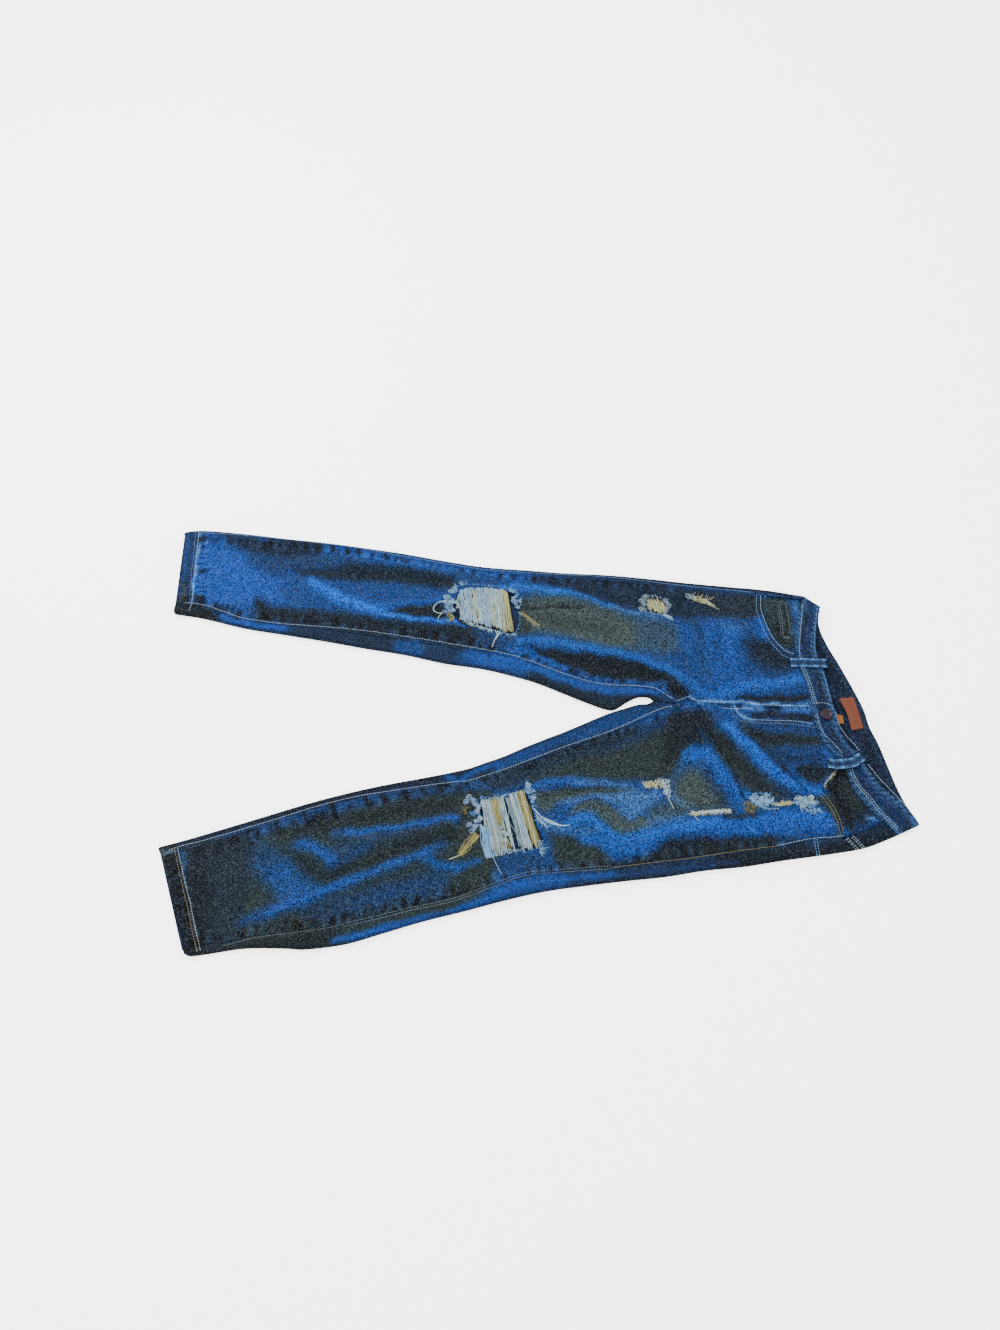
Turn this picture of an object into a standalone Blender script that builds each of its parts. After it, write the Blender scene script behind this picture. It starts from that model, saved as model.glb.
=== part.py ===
"""Ripped skinny jeans, laid flat on their back, as the separate pieces of cloth they are sewn from.

Metres. +X runs from the hems to the waist, +Y from the wearer's left leg to the right leg, and
+Z up from the surface that the jeans lie on. Each panel is a sheet of cloth with a wall. The
fronts lie on top; the backs lie underneath and roll up round both folds of a leg to the seams.
"""
import math

import bmesh
import bpy
import numpy as np

# Driving dimensions
CLOTH = 0.0012
SEAM_GAP = 0.0003
CROTCH_GAP = 0.0007
CROTCH_BACKSET = 0.0018
CROTCH_SPREAD = 0.004
ROLL_RADIUS = 0.0036
LEG_SAG = 0.0010
HEM_RISE = 0.0012
WAIST_RISE = 0.0036
SAG_REACH = 0.016
LEAST_RISE = 0.0036
LEAST_BLEND = 0.0010
SEAT_LIFT = 0.0015
WAISTBAND_WALL = 0.0026
WAISTBAND_RAISE = 0.0008
FACING_DROP = 0.0015
POCKET_GAPE = 0.0022
KNEE_THREAD_WALL = 0.0012
KNEE_THREAD_DROP = 0.0018
COIN_POCKET_WALL = 0.0009
COIN_POCKET_DROP = FACING_DROP - COIN_POCKET_WALL - SEAM_GAP - 0.0001
LOOP_WIDTH = 0.012
LOOP_LENGTH = 0.050
LOOP_WALL = 0.0016
LOOP_STEPS = 10
LOOP_ARCH_LEFT = 0.0045
LOOP_ARCH_RIGHT = 0.0005
LOOP_LINE_RIGHT = [(0.357, 0.0855), (0.370, 0.0855), (0.390, 0.085), (0.406, 0.0845)]
LOOP_LINE_LEFT = [(0.388, -0.059), (0.400, -0.0615), (0.418, -0.060), (0.434, -0.050)]
BUTTON_RADIUS = 0.0080
BUTTON_HEIGHT = 0.0035
BUTTON_PLACE = (0.3945, 0.0090)
BUTTON_SEAT = 0.0004
LABEL_WALL = 0.0008
LABEL_CURL = 0.0040
LABEL_FRONT = [(0.417, 0.034), (0.424, 0.012), (0.427, -0.012)]
LABEL_BACK = [(0.438, 0.038), (0.442, 0.014), (0.445, -0.007)]
TAB_FRONT = [(0.4115, 0.013), (0.4125, 0.000)]
TAB_BACK = [(0.4195, 0.0105), (0.4195, -0.0015)]
BACK_POCKET_DEPTH = 0.145
BACK_POCKET_TIP = 0.022
BACK_POCKET_TAPER = 0.06

# Rows along a leg, counted from the hem
WAIST_ROW = 52
YOKE_ROW = 49
CROTCH_ROW = 41
SEAT_ROW = 43
FRONT_COLUMNS = 14
KNEE_ROWS = (22, 30)
RIGHT_KNEE_COLUMNS = (3, 13)
LEFT_KNEE_COLUMNS = (2, 14)
FOLD_STEPS = 5
UNDERSIDE_STEPS = 4
SEAM_ON_TOP = 1.2
CROTCH_STATIONS = (0.45, 0.85, 1.25, 1.60)
SEAT_TURN = 0.80
SEAT_PARTS = ([SEAT_TURN * step / UNDERSIDE_STEPS for step in range(UNDERSIDE_STEPS)]
              + [SEAT_TURN + (1.0 - SEAT_TURN) * step / FOLD_STEPS for step in range(FOLD_STEPS + 1)])

# Plan of the crotch, shared by both halves
CROTCH_TOP = (0.196, 0.028)
CROTCH_FOLD = (0.166, 0.032)
CENTRE_BACK = [(0.190, 0.0290), (0.250, 0.0275), (0.300, 0.0265), (0.347, 0.0262), (0.412, 0.0280)]
CENTRE_FRONT = [CROTCH_TOP, (0.215, 0.030), (0.254, 0.027), (0.287, 0.025), (0.325, 0.020), (0.378, 0.019)]

# Colours, linear
DENIM = (0.020, 0.055, 0.180, 1.0)
DENIM_DARK = (0.018, 0.030, 0.060, 1.0)
THREAD = (0.620, 0.660, 0.640, 1.0)
LEATHERETTE = (0.420, 0.120, 0.045, 1.0)
TAB_ORANGE = (0.640, 0.240, 0.030, 1.0)
AGED_COPPER = (0.090, 0.045, 0.030, 1.0)


class PlanLine:
    """A smooth line in plan through hand-placed points, read by its share of length."""

    STEPS = 12

    def __init__(self, points):
        knots = np.array(points, float)
        padded = np.vstack([2 * knots[0] - knots[1], knots, 2 * knots[-1] - knots[-2]])
        dense = []
        for a, b, c, d in zip(padded, padded[1:], padded[2:], padded[3:]):
            for step in range(self.STEPS):
                t = step / self.STEPS
                dense.append(0.5 * (2 * b + (c - a) * t + (2 * a - 5 * b + 4 * c - d) * t ** 2
                                    + (3 * b - a - 3 * c + d) * t ** 3))
        dense.append(knots[-1])
        self.points = np.array(dense)
        lengths = np.linalg.norm(np.diff(self.points, axis=0), axis=1)
        self.run = np.concatenate([[0.0], np.cumsum(lengths)])

    def at(self, share):
        """Point at a share of the length; past an end it goes straight on."""
        run = share * self.run[-1]
        point = np.array([np.interp(run, self.run, self.points[:, axis]) for axis in (0, 1)])
        if share > 1.0:
            return point + self.tangent(1.0) * (run - self.run[-1])
        return point

    def tangent(self, share):
        """Unit direction of the line at a share of the length."""
        step = 0.004
        low, high = max(share - step, 0.0), min(share + step, 1.0)
        direction = self.at(high) - self.at(low)
        return direction / np.linalg.norm(direction)

    def distance(self, point):
        """Shortest distance in plan from a point to the line."""
        start = self.points[:-1]
        span = np.diff(self.points, axis=0)
        along = np.einsum("ij,ij->i", point - start, span) / np.einsum("ij,ij->i", span, span)
        nearest = start + np.clip(along, 0.0, 1.0)[:, None] * span
        return float(np.min(np.linalg.norm(point - nearest, axis=1)))


class Half:
    """One leg and its hip: seam lines and folded edges in plan, and which way the leg's side lies."""

    def __init__(self, side, outseam, inseam, outer_fold, waistband_fold, inner_fold,
                 front_waist, back_waist):
        self.side = side
        self.outseam = PlanLine(outseam)
        self.inseam = PlanLine(inseam + [CROTCH_TOP])
        self.centre_front = PlanLine(CENTRE_FRONT)
        self.centre_back = PlanLine(CENTRE_BACK)
        self.outer_fold = PlanLine(outer_fold)
        self.edge = PlanLine(outer_fold + waistband_fold)
        self.crotch_fold = (CROTCH_FOLD[0], CROTCH_FOLD[1] + side * CROTCH_GAP)
        self.inner_fold = PlanLine(inner_fold + [self.crotch_fold])
        self.front_waist = PlanLine(front_waist)
        self.back_waist = PlanLine(back_waist)


RIGHT = Half(
    side=1.0,
    outseam=[(-0.492, 0.289), (-0.410, 0.284), (-0.322, 0.274), (-0.234, 0.262), (-0.148, 0.248),
             (-0.061, 0.231), (0.024, 0.222), (0.109, 0.216), (0.194, 0.208), (0.250, 0.201),
             (0.334, 0.192), (0.389, 0.186)],
    inseam=[(-0.485, 0.177), (-0.422, 0.160), (-0.367, 0.149), (-0.287, 0.139), (-0.206, 0.127),
            (-0.109, 0.112), (-0.052, 0.103), (0.006, 0.086), (0.066, 0.066), (0.105, 0.055),
            (0.152, 0.051), (0.177, 0.043)],
    outer_fold=[(-0.4955, 0.301), (-0.471, 0.3026), (-0.412, 0.297), (-0.353, 0.289), (-0.294, 0.282),
                (-0.235, 0.273), (-0.177, 0.263), (-0.119, 0.251), (-0.062, 0.241), (-0.004, 0.236),
                (0.053, 0.231), (0.110, 0.228), (0.167, 0.222), (0.223, 0.215), (0.279, 0.209),
                (0.336, 0.203), (0.391, 0.193)],
    waistband_fold=[(0.411, 0.177), (0.425, 0.166)],
    inner_fold=[(-0.487, 0.163), (-0.454, 0.157), (-0.396, 0.142), (-0.339, 0.132), (-0.283, 0.122),
                (-0.227, 0.111), (-0.171, 0.101), (-0.116, 0.088), (-0.061, 0.079), (-0.006, 0.064),
                (0.021, 0.054), (0.048, 0.042), (0.075, 0.030), (0.101, 0.020), (0.115, 0.0195),
                (0.130, 0.029), (0.145, 0.037), (0.159, 0.0375)],
    front_waist=[(0.389, 0.186), (0.381, 0.166), (0.369, 0.119), (0.372, 0.076), (0.377, 0.044),
                 (0.378, 0.019)],
    back_waist=[(0.390, 0.1886), (0.379, 0.165), (0.376, 0.145), (0.380, 0.118), (0.393, 0.080),
                (0.412, 0.028)])

LEFT = Half(
    side=-1.0,
    outseam=[(-0.410, -0.291), (-0.369, -0.286), (-0.334, -0.279), (-0.261, -0.272), (-0.187, -0.256),
             (-0.104, -0.232), (-0.031, -0.213), (0.026, -0.201), (0.121, -0.192), (0.210, -0.180),
             (0.312, -0.169), (0.358, -0.161), (0.404, -0.157), (0.449, -0.137)],
    inseam=[(-0.456, -0.180), (-0.362, -0.150), (-0.291, -0.128), (-0.219, -0.109), (-0.105, -0.086),
            (0.029, -0.046), (0.132, -0.005), (0.180, 0.018)],
    outer_fold=[(-0.413, -0.303), (-0.397, -0.301), (-0.349, -0.294), (-0.300, -0.294), (-0.276, -0.295),
                (-0.228, -0.289), (-0.180, -0.275), (-0.132, -0.261), (-0.083, -0.249), (-0.034, -0.236),
                (0.016, -0.225), (0.066, -0.218), (0.116, -0.212), (0.166, -0.207), (0.217, -0.199),
                (0.267, -0.194), (0.318, -0.186), (0.370, -0.179), (0.422, -0.170), (0.465, -0.154)],
    waistband_fold=[(0.495, -0.141), (0.510, -0.134)],
    inner_fold=[(-0.463, -0.166), (-0.438, -0.159), (-0.390, -0.144), (-0.340, -0.128), (-0.290, -0.112),
                (-0.240, -0.098), (-0.189, -0.086), (-0.137, -0.076), (-0.086, -0.065), (-0.060, -0.056),
                (-0.033, -0.046), (-0.007, -0.034), (0.019, -0.023), (0.046, -0.012), (0.073, 0.000),
                (0.100, 0.012), (0.115, 0.0175), (0.130, 0.022), (0.145, 0.0265), (0.158, 0.0275)],
    front_waist=[(0.449, -0.137), (0.435, -0.120), (0.418, -0.094), (0.412, -0.067), (0.404, -0.050),
                 (0.390, -0.035), (0.381, -0.005), (0.378, 0.019)],
    back_waist=[(0.4634, -0.1498), (0.445, -0.105), (0.434, -0.060), (0.422, -0.012), (0.412, 0.028)])

# Folds of the upper layer: a line in plan, its height (a trough is negative) and its half width
FOLDS = [
    ([(-0.306, 0.208), (-0.249, 0.177), (-0.181, 0.155), (-0.109, 0.144)], 0.0050, 0.013),
    ([(-0.335, 0.229), (-0.266, 0.226), (-0.170, 0.219)], -0.0025, 0.012),
    ([(-0.450, 0.262), (-0.400, 0.262), (-0.310, 0.258)], -0.0020, 0.012),
    ([(-0.260, 0.252), (-0.160, 0.236), (-0.080, 0.222)], 0.0035, 0.012),
    ([(-0.390, 0.190), (-0.300, 0.166), (-0.210, 0.145)], 0.0025, 0.014),
    ([(-0.009, 0.198), (0.054, 0.190), (0.107, 0.173), (0.158, 0.160), (0.205, 0.142)], 0.0040, 0.012),
    ([(-0.006, 0.119), (0.097, 0.104), (0.164, 0.081), (0.216, 0.044)], 0.0060, 0.011),
    ([(0.012, 0.102), (0.096, 0.085), (0.180, 0.062)], -0.0035, 0.009),
    ([(0.020, 0.150), (0.100, 0.138), (0.190, 0.112)], -0.0025, 0.018),
    ([(0.250, 0.060), (0.310, 0.052), (0.365, 0.050)], 0.0045, 0.012),
    ([(0.240, 0.150), (0.290, 0.130), (0.330, 0.100)], 0.0030, 0.018),
    ([(-0.336, -0.167), (-0.291, -0.175), (-0.250, -0.190)], 0.0045, 0.010),
    ([(-0.249, -0.194), (-0.216, -0.164), (-0.104, -0.137)], 0.0055, 0.011),
    ([(-0.337, -0.255), (-0.282, -0.235), (-0.237, -0.217), (-0.166, -0.191), (-0.119, -0.177)], 0.0050, 0.013),
    ([(-0.296, -0.187), (-0.261, -0.212), (-0.226, -0.196), (-0.143, -0.166)], -0.0035, 0.009),
    ([(-0.410, -0.235), (-0.350, -0.225), (-0.320, -0.205)], -0.0020, 0.016),
    ([(-0.200, -0.118), (-0.120, -0.104), (-0.080, -0.098)], 0.0025, 0.009),
    ([(0.004, -0.094), (0.053, -0.085), (0.102, -0.085)], 0.0035, 0.010),
    ([(0.042, -0.119), (0.101, -0.106), (0.150, -0.103)], 0.0025, 0.011),
    ([(0.051, -0.139), (0.076, -0.133), (0.099, -0.158), (0.122, -0.173), (0.160, -0.154),
      (0.214, -0.141), (0.291, -0.132)], 0.0060, 0.010),
    ([(0.058, -0.164), (0.084, -0.160), (0.104, -0.184)], -0.0020, 0.009),
    ([(0.150, -0.130), (0.200, -0.118), (0.262, -0.112)], -0.0030, 0.012),
    ([(0.100, -0.050), (0.160, -0.035), (0.210, -0.040)], -0.0025, 0.018),
    ([(0.246, 0.004), (0.281, -0.023), (0.311, -0.057), (0.332, -0.088), (0.353, -0.100)], 0.0055, 0.009),
    ([(0.216, -0.010), (0.241, -0.055), (0.268, -0.092)], 0.0045, 0.010),
    ([(0.236, -0.012), (0.266, -0.046), (0.300, -0.084)], -0.0030, 0.008),
    ([(0.290, -0.004), (0.345, -0.022), (0.385, -0.040)], 0.0030, 0.009),
    ([(0.300, -0.024), (0.340, -0.062), (0.372, -0.082)], -0.0030, 0.010),
]
FOLD_LINES = [(PlanLine(points), height, width) for points, height, width in FOLDS]
FOLD_MARGIN = 0.014

# Pocket mouths and rips, in plan; a mouth runs from the side to the waistband
RIGHT_POCKET = [(0.330, 0.196), (0.328, 0.172), (0.332, 0.147), (0.341, 0.122), (0.354, 0.104),
                (0.371, 0.093)]
LEFT_POCKET = [(0.396, -0.154), (0.391, -0.126), (0.383, -0.108), (0.376, -0.094), (0.394, -0.076),
               (0.411, -0.066)]
POCKET_CLEAR = 0.060
RIGHT_KNEE_RIP = [(-0.100, 0.196), (-0.082, 0.203), (-0.060, 0.199), (-0.036, 0.202), (-0.018, 0.192),
                  (-0.012, 0.166), (-0.018, 0.138), (-0.030, 0.131), (-0.046, 0.134), (-0.068, 0.146),
                  (-0.084, 0.145), (-0.099, 0.152), (-0.106, 0.174)]
LEFT_KNEE_RIP = [(-0.070, -0.112), (-0.048, -0.107), (-0.028, -0.103), (-0.010, -0.094), (0.000, -0.116),
                 (0.006, -0.140), (0.014, -0.162), (-0.006, -0.172), (-0.024, -0.174), (-0.044, -0.181),
                 (-0.056, -0.166), (-0.062, -0.142)]
RIGHT_SLITS = [
    [(-0.036, 0.188), (-0.031, 0.188), (-0.024, 0.146), (-0.029, 0.146)],
    [(-0.094, 0.182), (-0.089, 0.183), (-0.083, 0.156), (-0.088, 0.155)],
    [(-0.062, 0.190), (-0.057, 0.190), (-0.053, 0.166), (-0.058, 0.165)],
    [(-0.048, 0.156), (-0.042, 0.157), (-0.040, 0.143), (-0.046, 0.142)],
]
LEFT_SLITS = [
    [(-0.012, -0.098), (-0.008, -0.098), (0.004, -0.134), (-0.001, -0.136)],
    [(-0.036, -0.110), (-0.031, -0.109), (-0.022, -0.136), (-0.027, -0.138)],
    [(-0.018, -0.142), (-0.013, -0.141), (-0.004, -0.164), (-0.009, -0.166)],
    [(-0.040, -0.152), (-0.034, -0.151), (-0.030, -0.166), (-0.036, -0.168)],
    [(-0.062, -0.118), (-0.057, -0.117), (-0.049, -0.140), (-0.054, -0.142)],
]


def smooth_step(value, low, high):
    """Rise from 0 at low to 1 at high, level at both ends."""
    t = min(max((value - low) / (high - low), 0.0), 1.0)
    return t * t * (3.0 - 2.0 * t)


def seat_lift(x):
    """Height of the underside: the legs lie on the surface, the seat on its pockets and loops."""
    return SEAT_LIFT * smooth_step(x, 0.110, 0.145)


def slack(x):
    """Rise of the upper layer between the folds: it lies on the back, and gapes at hems and waist."""
    hem = 1.0 - smooth_step(x, -0.430, -0.340)
    waist = smooth_step(x, 0.220, 0.370)
    return -LEG_SAG + (HEM_RISE + LEG_SAG) * hem + (WAIST_RISE + LEG_SAG) * waist


def top_height(half, point):
    """Height of the upper layer's outer face over a point in plan."""
    point = np.array(point, float)
    outer = half.edge.distance(point)
    inner = half.inner_fold.distance(point)
    edge = min(outer, inner)
    lift = seat_lift(point[0])
    if edge < ROLL_RADIUS:
        rise = math.sqrt(max(1.0 - (1.0 - edge / ROLL_RADIUS) ** 2, 0.0))
        return ROLL_RADIUS + lift / 2 + (ROLL_RADIUS - lift / 2) * rise
    reach = 1.0
    for distance in (outer, inner):
        reach *= 1.0 - math.exp(-max(distance - ROLL_RADIUS, 0.0) / SAG_REACH)
    folds = 0.0
    for line, height, width in FOLD_LINES:
        folds += height * math.exp(-(line.distance(point) / width) ** 2)
    height = 2 * ROLL_RADIUS + slack(point[0]) * reach + folds * smooth_step(edge, ROLL_RADIUS, FOLD_MARGIN)
    least = lift + LEAST_RISE
    return (height + least + math.hypot(height - least, LEAST_BLEND)) / 2


def lifted(half, point, rise=0.0):
    """The point of the upper layer over a plan point, raised by some height."""
    return np.array([point[0], point[1], top_height(half, point) + rise])


def inner_line(half, row):
    """Inner seam of the front at a row: the inseam up to the crotch, then the centre front."""
    if row <= CROTCH_ROW:
        return half.inseam.at(row / CROTCH_ROW)
    return half.centre_front.at((row - CROTCH_ROW) / (WAIST_ROW - CROTCH_ROW))


def bow(line, start, end, across, row):
    """Shift that bends the last rows into the waist line."""
    straight = start + (end - start) * across
    return (line.at(across) - straight) * smooth_step(row, CROTCH_ROW, WAIST_ROW)


def front_plan(half, row, across):
    """Plan point of the front panel, across 0 at the outseam and 1 at the inner seam."""
    outer = half.outseam.at(row / WAIST_ROW)
    inner = inner_line(half, row)
    point = outer + (inner - outer) * across
    ends = half.front_waist.at(0.0), half.front_waist.at(1.0)
    return point + bow(half.front_waist, ends[0], ends[1], across, row)


def front_point(half, row, across):
    """Point of the front panel's outer face, clear of the seams by half the gap."""
    outer = front_plan(half, row, 0.0)
    inner = front_plan(half, row, 1.0)
    margin = SEAM_GAP / 2 / np.linalg.norm(inner - outer)
    plan = front_plan(half, row, margin + (1.0 - 2.0 * margin) * across)
    return lifted(half, plan)


def roll_point(edge, inward, angle):
    """Point of a rolled edge: angle 0 on the underside, pi on top."""
    plan = edge + inward * ROLL_RADIUS * (1.0 - math.sin(angle))
    lift = seat_lift(edge[0])
    height = lift + (2 * ROLL_RADIUS - lift) * (1.0 - math.cos(angle)) / 2
    return np.array([plan[0], plan[1], height])


def fold_path(half, seam, edge, inward):
    """Points from a seam on top, out to the folded edge and round it to the underside."""
    offset = float(np.dot(seam - edge, inward))
    if offset > ROLL_RADIUS * SEAM_ON_TOP:
        angles = [math.pi * (1.0 - step / (FOLD_STEPS - 1)) for step in range(FOLD_STEPS)]
        points = [lifted(half, seam)]
        points += [roll_point(edge, inward, angle) for angle in angles]
        return points
    start = math.pi - math.asin(min(max(1.0 - offset / ROLL_RADIUS, 0.0), 1.0))
    angles = [start * (1.0 - step / FOLD_STEPS) for step in range(1, FOLD_STEPS + 1)]
    return [lifted(half, seam)] + [roll_point(edge, inward, angle) for angle in angles]


def inward_of(line, share, sign):
    """Unit direction square to a folded edge, towards the cloth."""
    along = line.tangent(share)
    return sign * np.array([along[1], -along[0]])


def crotch_path(half, row, start):
    """Inner part of the rows that turn from the top, round the crotch fold, to the underside."""
    turn = smooth_step(SEAT_ROW - row, 0.0, SEAT_ROW - CROTCH_ROW)
    edge = np.array(half.crotch_fold)
    angles = [math.pi * turn * step / FOLD_STEPS for step in range(FOLD_STEPS + 1)]
    points = [roll_point(edge, np.array([1.0, 0.0]), angle) for angle in angles]
    side = np.array([0.0, CROTCH_SPREAD * half.side])
    seam = half.centre_back.at(0.0) + np.array([0.0, half.side * SEAM_GAP])
    shift = (seam - edge - np.array([ROLL_RADIUS, 0.0])) * (1.0 - turn)
    across = (1.0 - SEAT_TURN) * (start - seam)
    spread = side * turn + across * (1.0 - turn)
    for index, point in enumerate(points):
        point[:2] += shift + spread * (FOLD_STEPS - index) / FOLD_STEPS
    return points


def back_row(half, row):
    """One row of the back: outseam on top, round the side fold, underside, inner seam."""
    share = row / WAIST_ROW
    outer_seam = front_plan(half, row, 0.0)
    inner_seam = front_plan(half, row, 1.0)
    across = (inner_seam - outer_seam) / np.linalg.norm(inner_seam - outer_seam)
    edge = half.outer_fold.at(share)
    outer = fold_path(half, outer_seam - across * SEAM_GAP / 2, edge,
                      inward_of(half.outer_fold, share, half.side))
    if row <= CROTCH_ROW:
        inner_share = row / CROTCH_ROW
        fold = half.inner_fold.at(inner_share)
        square = inward_of(half.inner_fold, inner_share, -half.side)
        towards = (inner_seam - fold) / np.linalg.norm(inner_seam - fold)
        turn = smooth_step(row, CROTCH_ROW - 5, CROTCH_ROW)
        inward = square * (1.0 - turn) + towards * turn
        apart = across * SEAM_GAP / 2
        if row == CROTCH_ROW:
            apart = np.array([-CROTCH_BACKSET, half.side * CROTCH_GAP])
        inner = fold_path(half, inner_seam + apart, fold, inward / np.linalg.norm(inward))[::-1]
    elif row < SEAT_ROW:
        inner = crotch_path(half, row, outer[-1][:2])
    else:
        centre = half.centre_back.at((row - SEAT_ROW) / (WAIST_ROW - SEAT_ROW))
        centre = centre + np.array([0.0, half.side * SEAM_GAP])
        start = outer[-1][:2]
        ends = half.back_waist.at(0.0), half.back_waist.at(1.0)
        inner = []
        for part in SEAT_PARTS[UNDERSIDE_STEPS:]:
            plan = start + (centre - start) * part + bow(half.back_waist, ends[0], ends[1], part, row)
            inner.append(np.array([plan[0], plan[1], seat_lift(plan[0])]))
    middle = []
    for step in range(1, UNDERSIDE_STEPS):
        plan = outer[-1][:2] + (inner[0][:2] - outer[-1][:2]) * step / UNDERSIDE_STEPS
        if row > SEAT_ROW:
            ends = half.back_waist.at(0.0), half.back_waist.at(1.0)
            part = SEAT_PARTS[step]
            plan = start + (centre - start) * part + bow(half.back_waist, ends[0], ends[1], part, row)
        middle.append(np.array([plan[0], plan[1], seat_lift(plan[0])]))
    return outer + middle + inner


def material(name, colour, roughness, metallic=0.0):
    """A plain Principled material."""
    finish = bpy.data.materials.new(name)
    finish.use_nodes = True
    shader = finish.node_tree.nodes["Principled BSDF"]
    shader.inputs["Base Color"].default_value = colour
    shader.inputs["Roughness"].default_value = roughness
    shader.inputs["Metallic"].default_value = metallic
    return finish


def add_object(name, mesh, collection, finish=None):
    """Put a mesh in the scene as a named object."""
    piece = bpy.data.objects.new(name, mesh)
    if finish:
        mesh.materials.append(finish)
    collection.objects.link(piece)
    return piece


def cloth_patch(name, rows, collection, finish, wall, flip):
    """A sheet of cloth through rows of points, with its wall grown inwards from them."""
    count, width = len(rows), len(rows[0])
    bm = bmesh.new()
    bmesh.ops.create_grid(bm, x_segments=count - 1, y_segments=width - 1, size=0.5)
    for vert in bm.verts:
        row = round((vert.co.x + 0.5) * (count - 1))
        column = round((vert.co.y + 0.5) * (width - 1))
        vert.co = rows[row][column]
    if flip:
        bmesh.ops.reverse_faces(bm, faces=bm.faces[:])
    mesh = bpy.data.meshes.new(name)
    bm.to_mesh(mesh)
    bm.free()
    piece = add_object(name, mesh, collection, finish)
    solid = piece.modifiers.new("Wall", "SOLIDIFY")
    solid.thickness = wall
    solid.offset = -1.0
    mesh.shade_smooth()
    return piece


def prism(name, outline, low, high, collection):
    """An upright prism on a plan outline, used to cut an opening."""
    bm = bmesh.new()
    face = bm.faces.new([bm.verts.new((x, y, low)) for x, y in outline])
    top = bmesh.ops.extrude_face_region(bm, geom=[face])
    verts = [item for item in top["geom"] if isinstance(item, bmesh.types.BMVert)]
    bmesh.ops.translate(bm, verts=verts, vec=(0.0, 0.0, high - low))
    bmesh.ops.recalc_face_normals(bm, faces=bm.faces[:])
    mesh = bpy.data.meshes.new(name)
    bm.to_mesh(mesh)
    bm.free()
    cutter = add_object(name, mesh, collection)
    cutter.hide_render = True
    cutter.display_type = "WIRE"
    return cutter


def cut(piece, outlines, collection):
    """Cut upright openings through a piece."""
    for index, outline in enumerate(outlines):
        tool = prism(f"{piece.name}_opening_{index}", outline, -0.010, 0.050, collection)
        step = piece.modifiers.new(f"Opening {index}", "BOOLEAN")
        step.operation = "DIFFERENCE"
        step.object = tool


def front_panel(name, half, pocket, rip, collection, cutters, finish):
    """Front of a leg and hip, cut away at the pocket mouth and at the knee."""
    rows = []
    for index in range(WAIST_ROW + 1):
        row = min(index, WAIST_ROW - 0.015)
        rows.append([front_point(half, row, column / FRONT_COLUMNS) for column in range(FRONT_COLUMNS + 1)])
    panel = cloth_patch(name, rows, collection, finish, CLOTH, flip=half.side > 0)
    line = PlanLine(pocket)
    mouth = [tuple(line.at(step / 12)) for step in range(13)]
    waist_end, side_end = mouth[-1], mouth[0]
    outside = side_end[1] + half.side * POCKET_CLEAR
    corner = [(waist_end[0] + POCKET_CLEAR, waist_end[1]), (waist_end[0] + POCKET_CLEAR, outside),
              (side_end[0], outside)]
    cut(panel, [mouth + corner, rip], cutters)
    return panel


def back_panel(name, half, collection, finish):
    """Back of a leg and seat, from the hem to the yoke."""
    stations = [float(row) for row in range(CROTCH_ROW + 1)]
    stations += [CROTCH_ROW + step for step in CROTCH_STATIONS]
    stations += [float(row) for row in range(SEAT_ROW, YOKE_ROW)] + [YOKE_ROW - 0.01]
    rows = [back_row(half, row) for row in stations]
    return cloth_patch(name, rows, collection, finish, CLOTH, flip=half.side < 0)


def yoke_panel(name, half, collection, finish):
    """Yoke between the back and the waistband, underneath."""
    stations = [YOKE_ROW + 0.01, YOKE_ROW + 1.0, YOKE_ROW + 2.0, WAIST_ROW - 0.02]
    rows = [back_row(half, row) for row in stations]
    return cloth_patch(name, rows, collection, finish, CLOTH, flip=half.side < 0)


# Top edge of the waistband in plan, and how it turns over each side fold
BAND_TOP_RIGHT = [(0.4095, 0.013), (0.407, 0.029), (0.402, 0.070), (0.395, 0.104), (0.401, 0.142),
                  (0.4095, 0.171)]
BAND_TOP_LEFT = [(0.4860, -0.125), (0.478, -0.113), (0.456, -0.093), (0.437, -0.063), (0.426, -0.041),
                 (0.419, -0.033), (0.411, -0.014), (0.4095, 0.013)]
BAND_TOP_BACK = [(0.4095, 0.171), (0.406, 0.145), (0.414, 0.114), (0.427, 0.083), (0.448, 0.024),
                 (0.453, -0.005), (0.462, -0.033), (0.475, -0.088), (0.484, -0.115), (0.490, -0.131)]
BAND_RIGHT_EDGE = ((0.3935, 0.1925), (0.4115, 0.1765))
BAND_LEFT_EDGE = ((0.4670, -0.1540), (0.4955, -0.1405))
BAND_LEFT_TURN = ((0.4610, -0.1470), (0.4905, -0.1320))
BAND_RIGHT_INWARD = (-0.15, -0.99)
BAND_LEFT_INWARD = (-0.42, 0.91)
BAND_FRONT_STEPS = FRONT_COLUMNS
BAND_ROWS = 3
BAND_OFFSET = 0.0010


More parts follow.
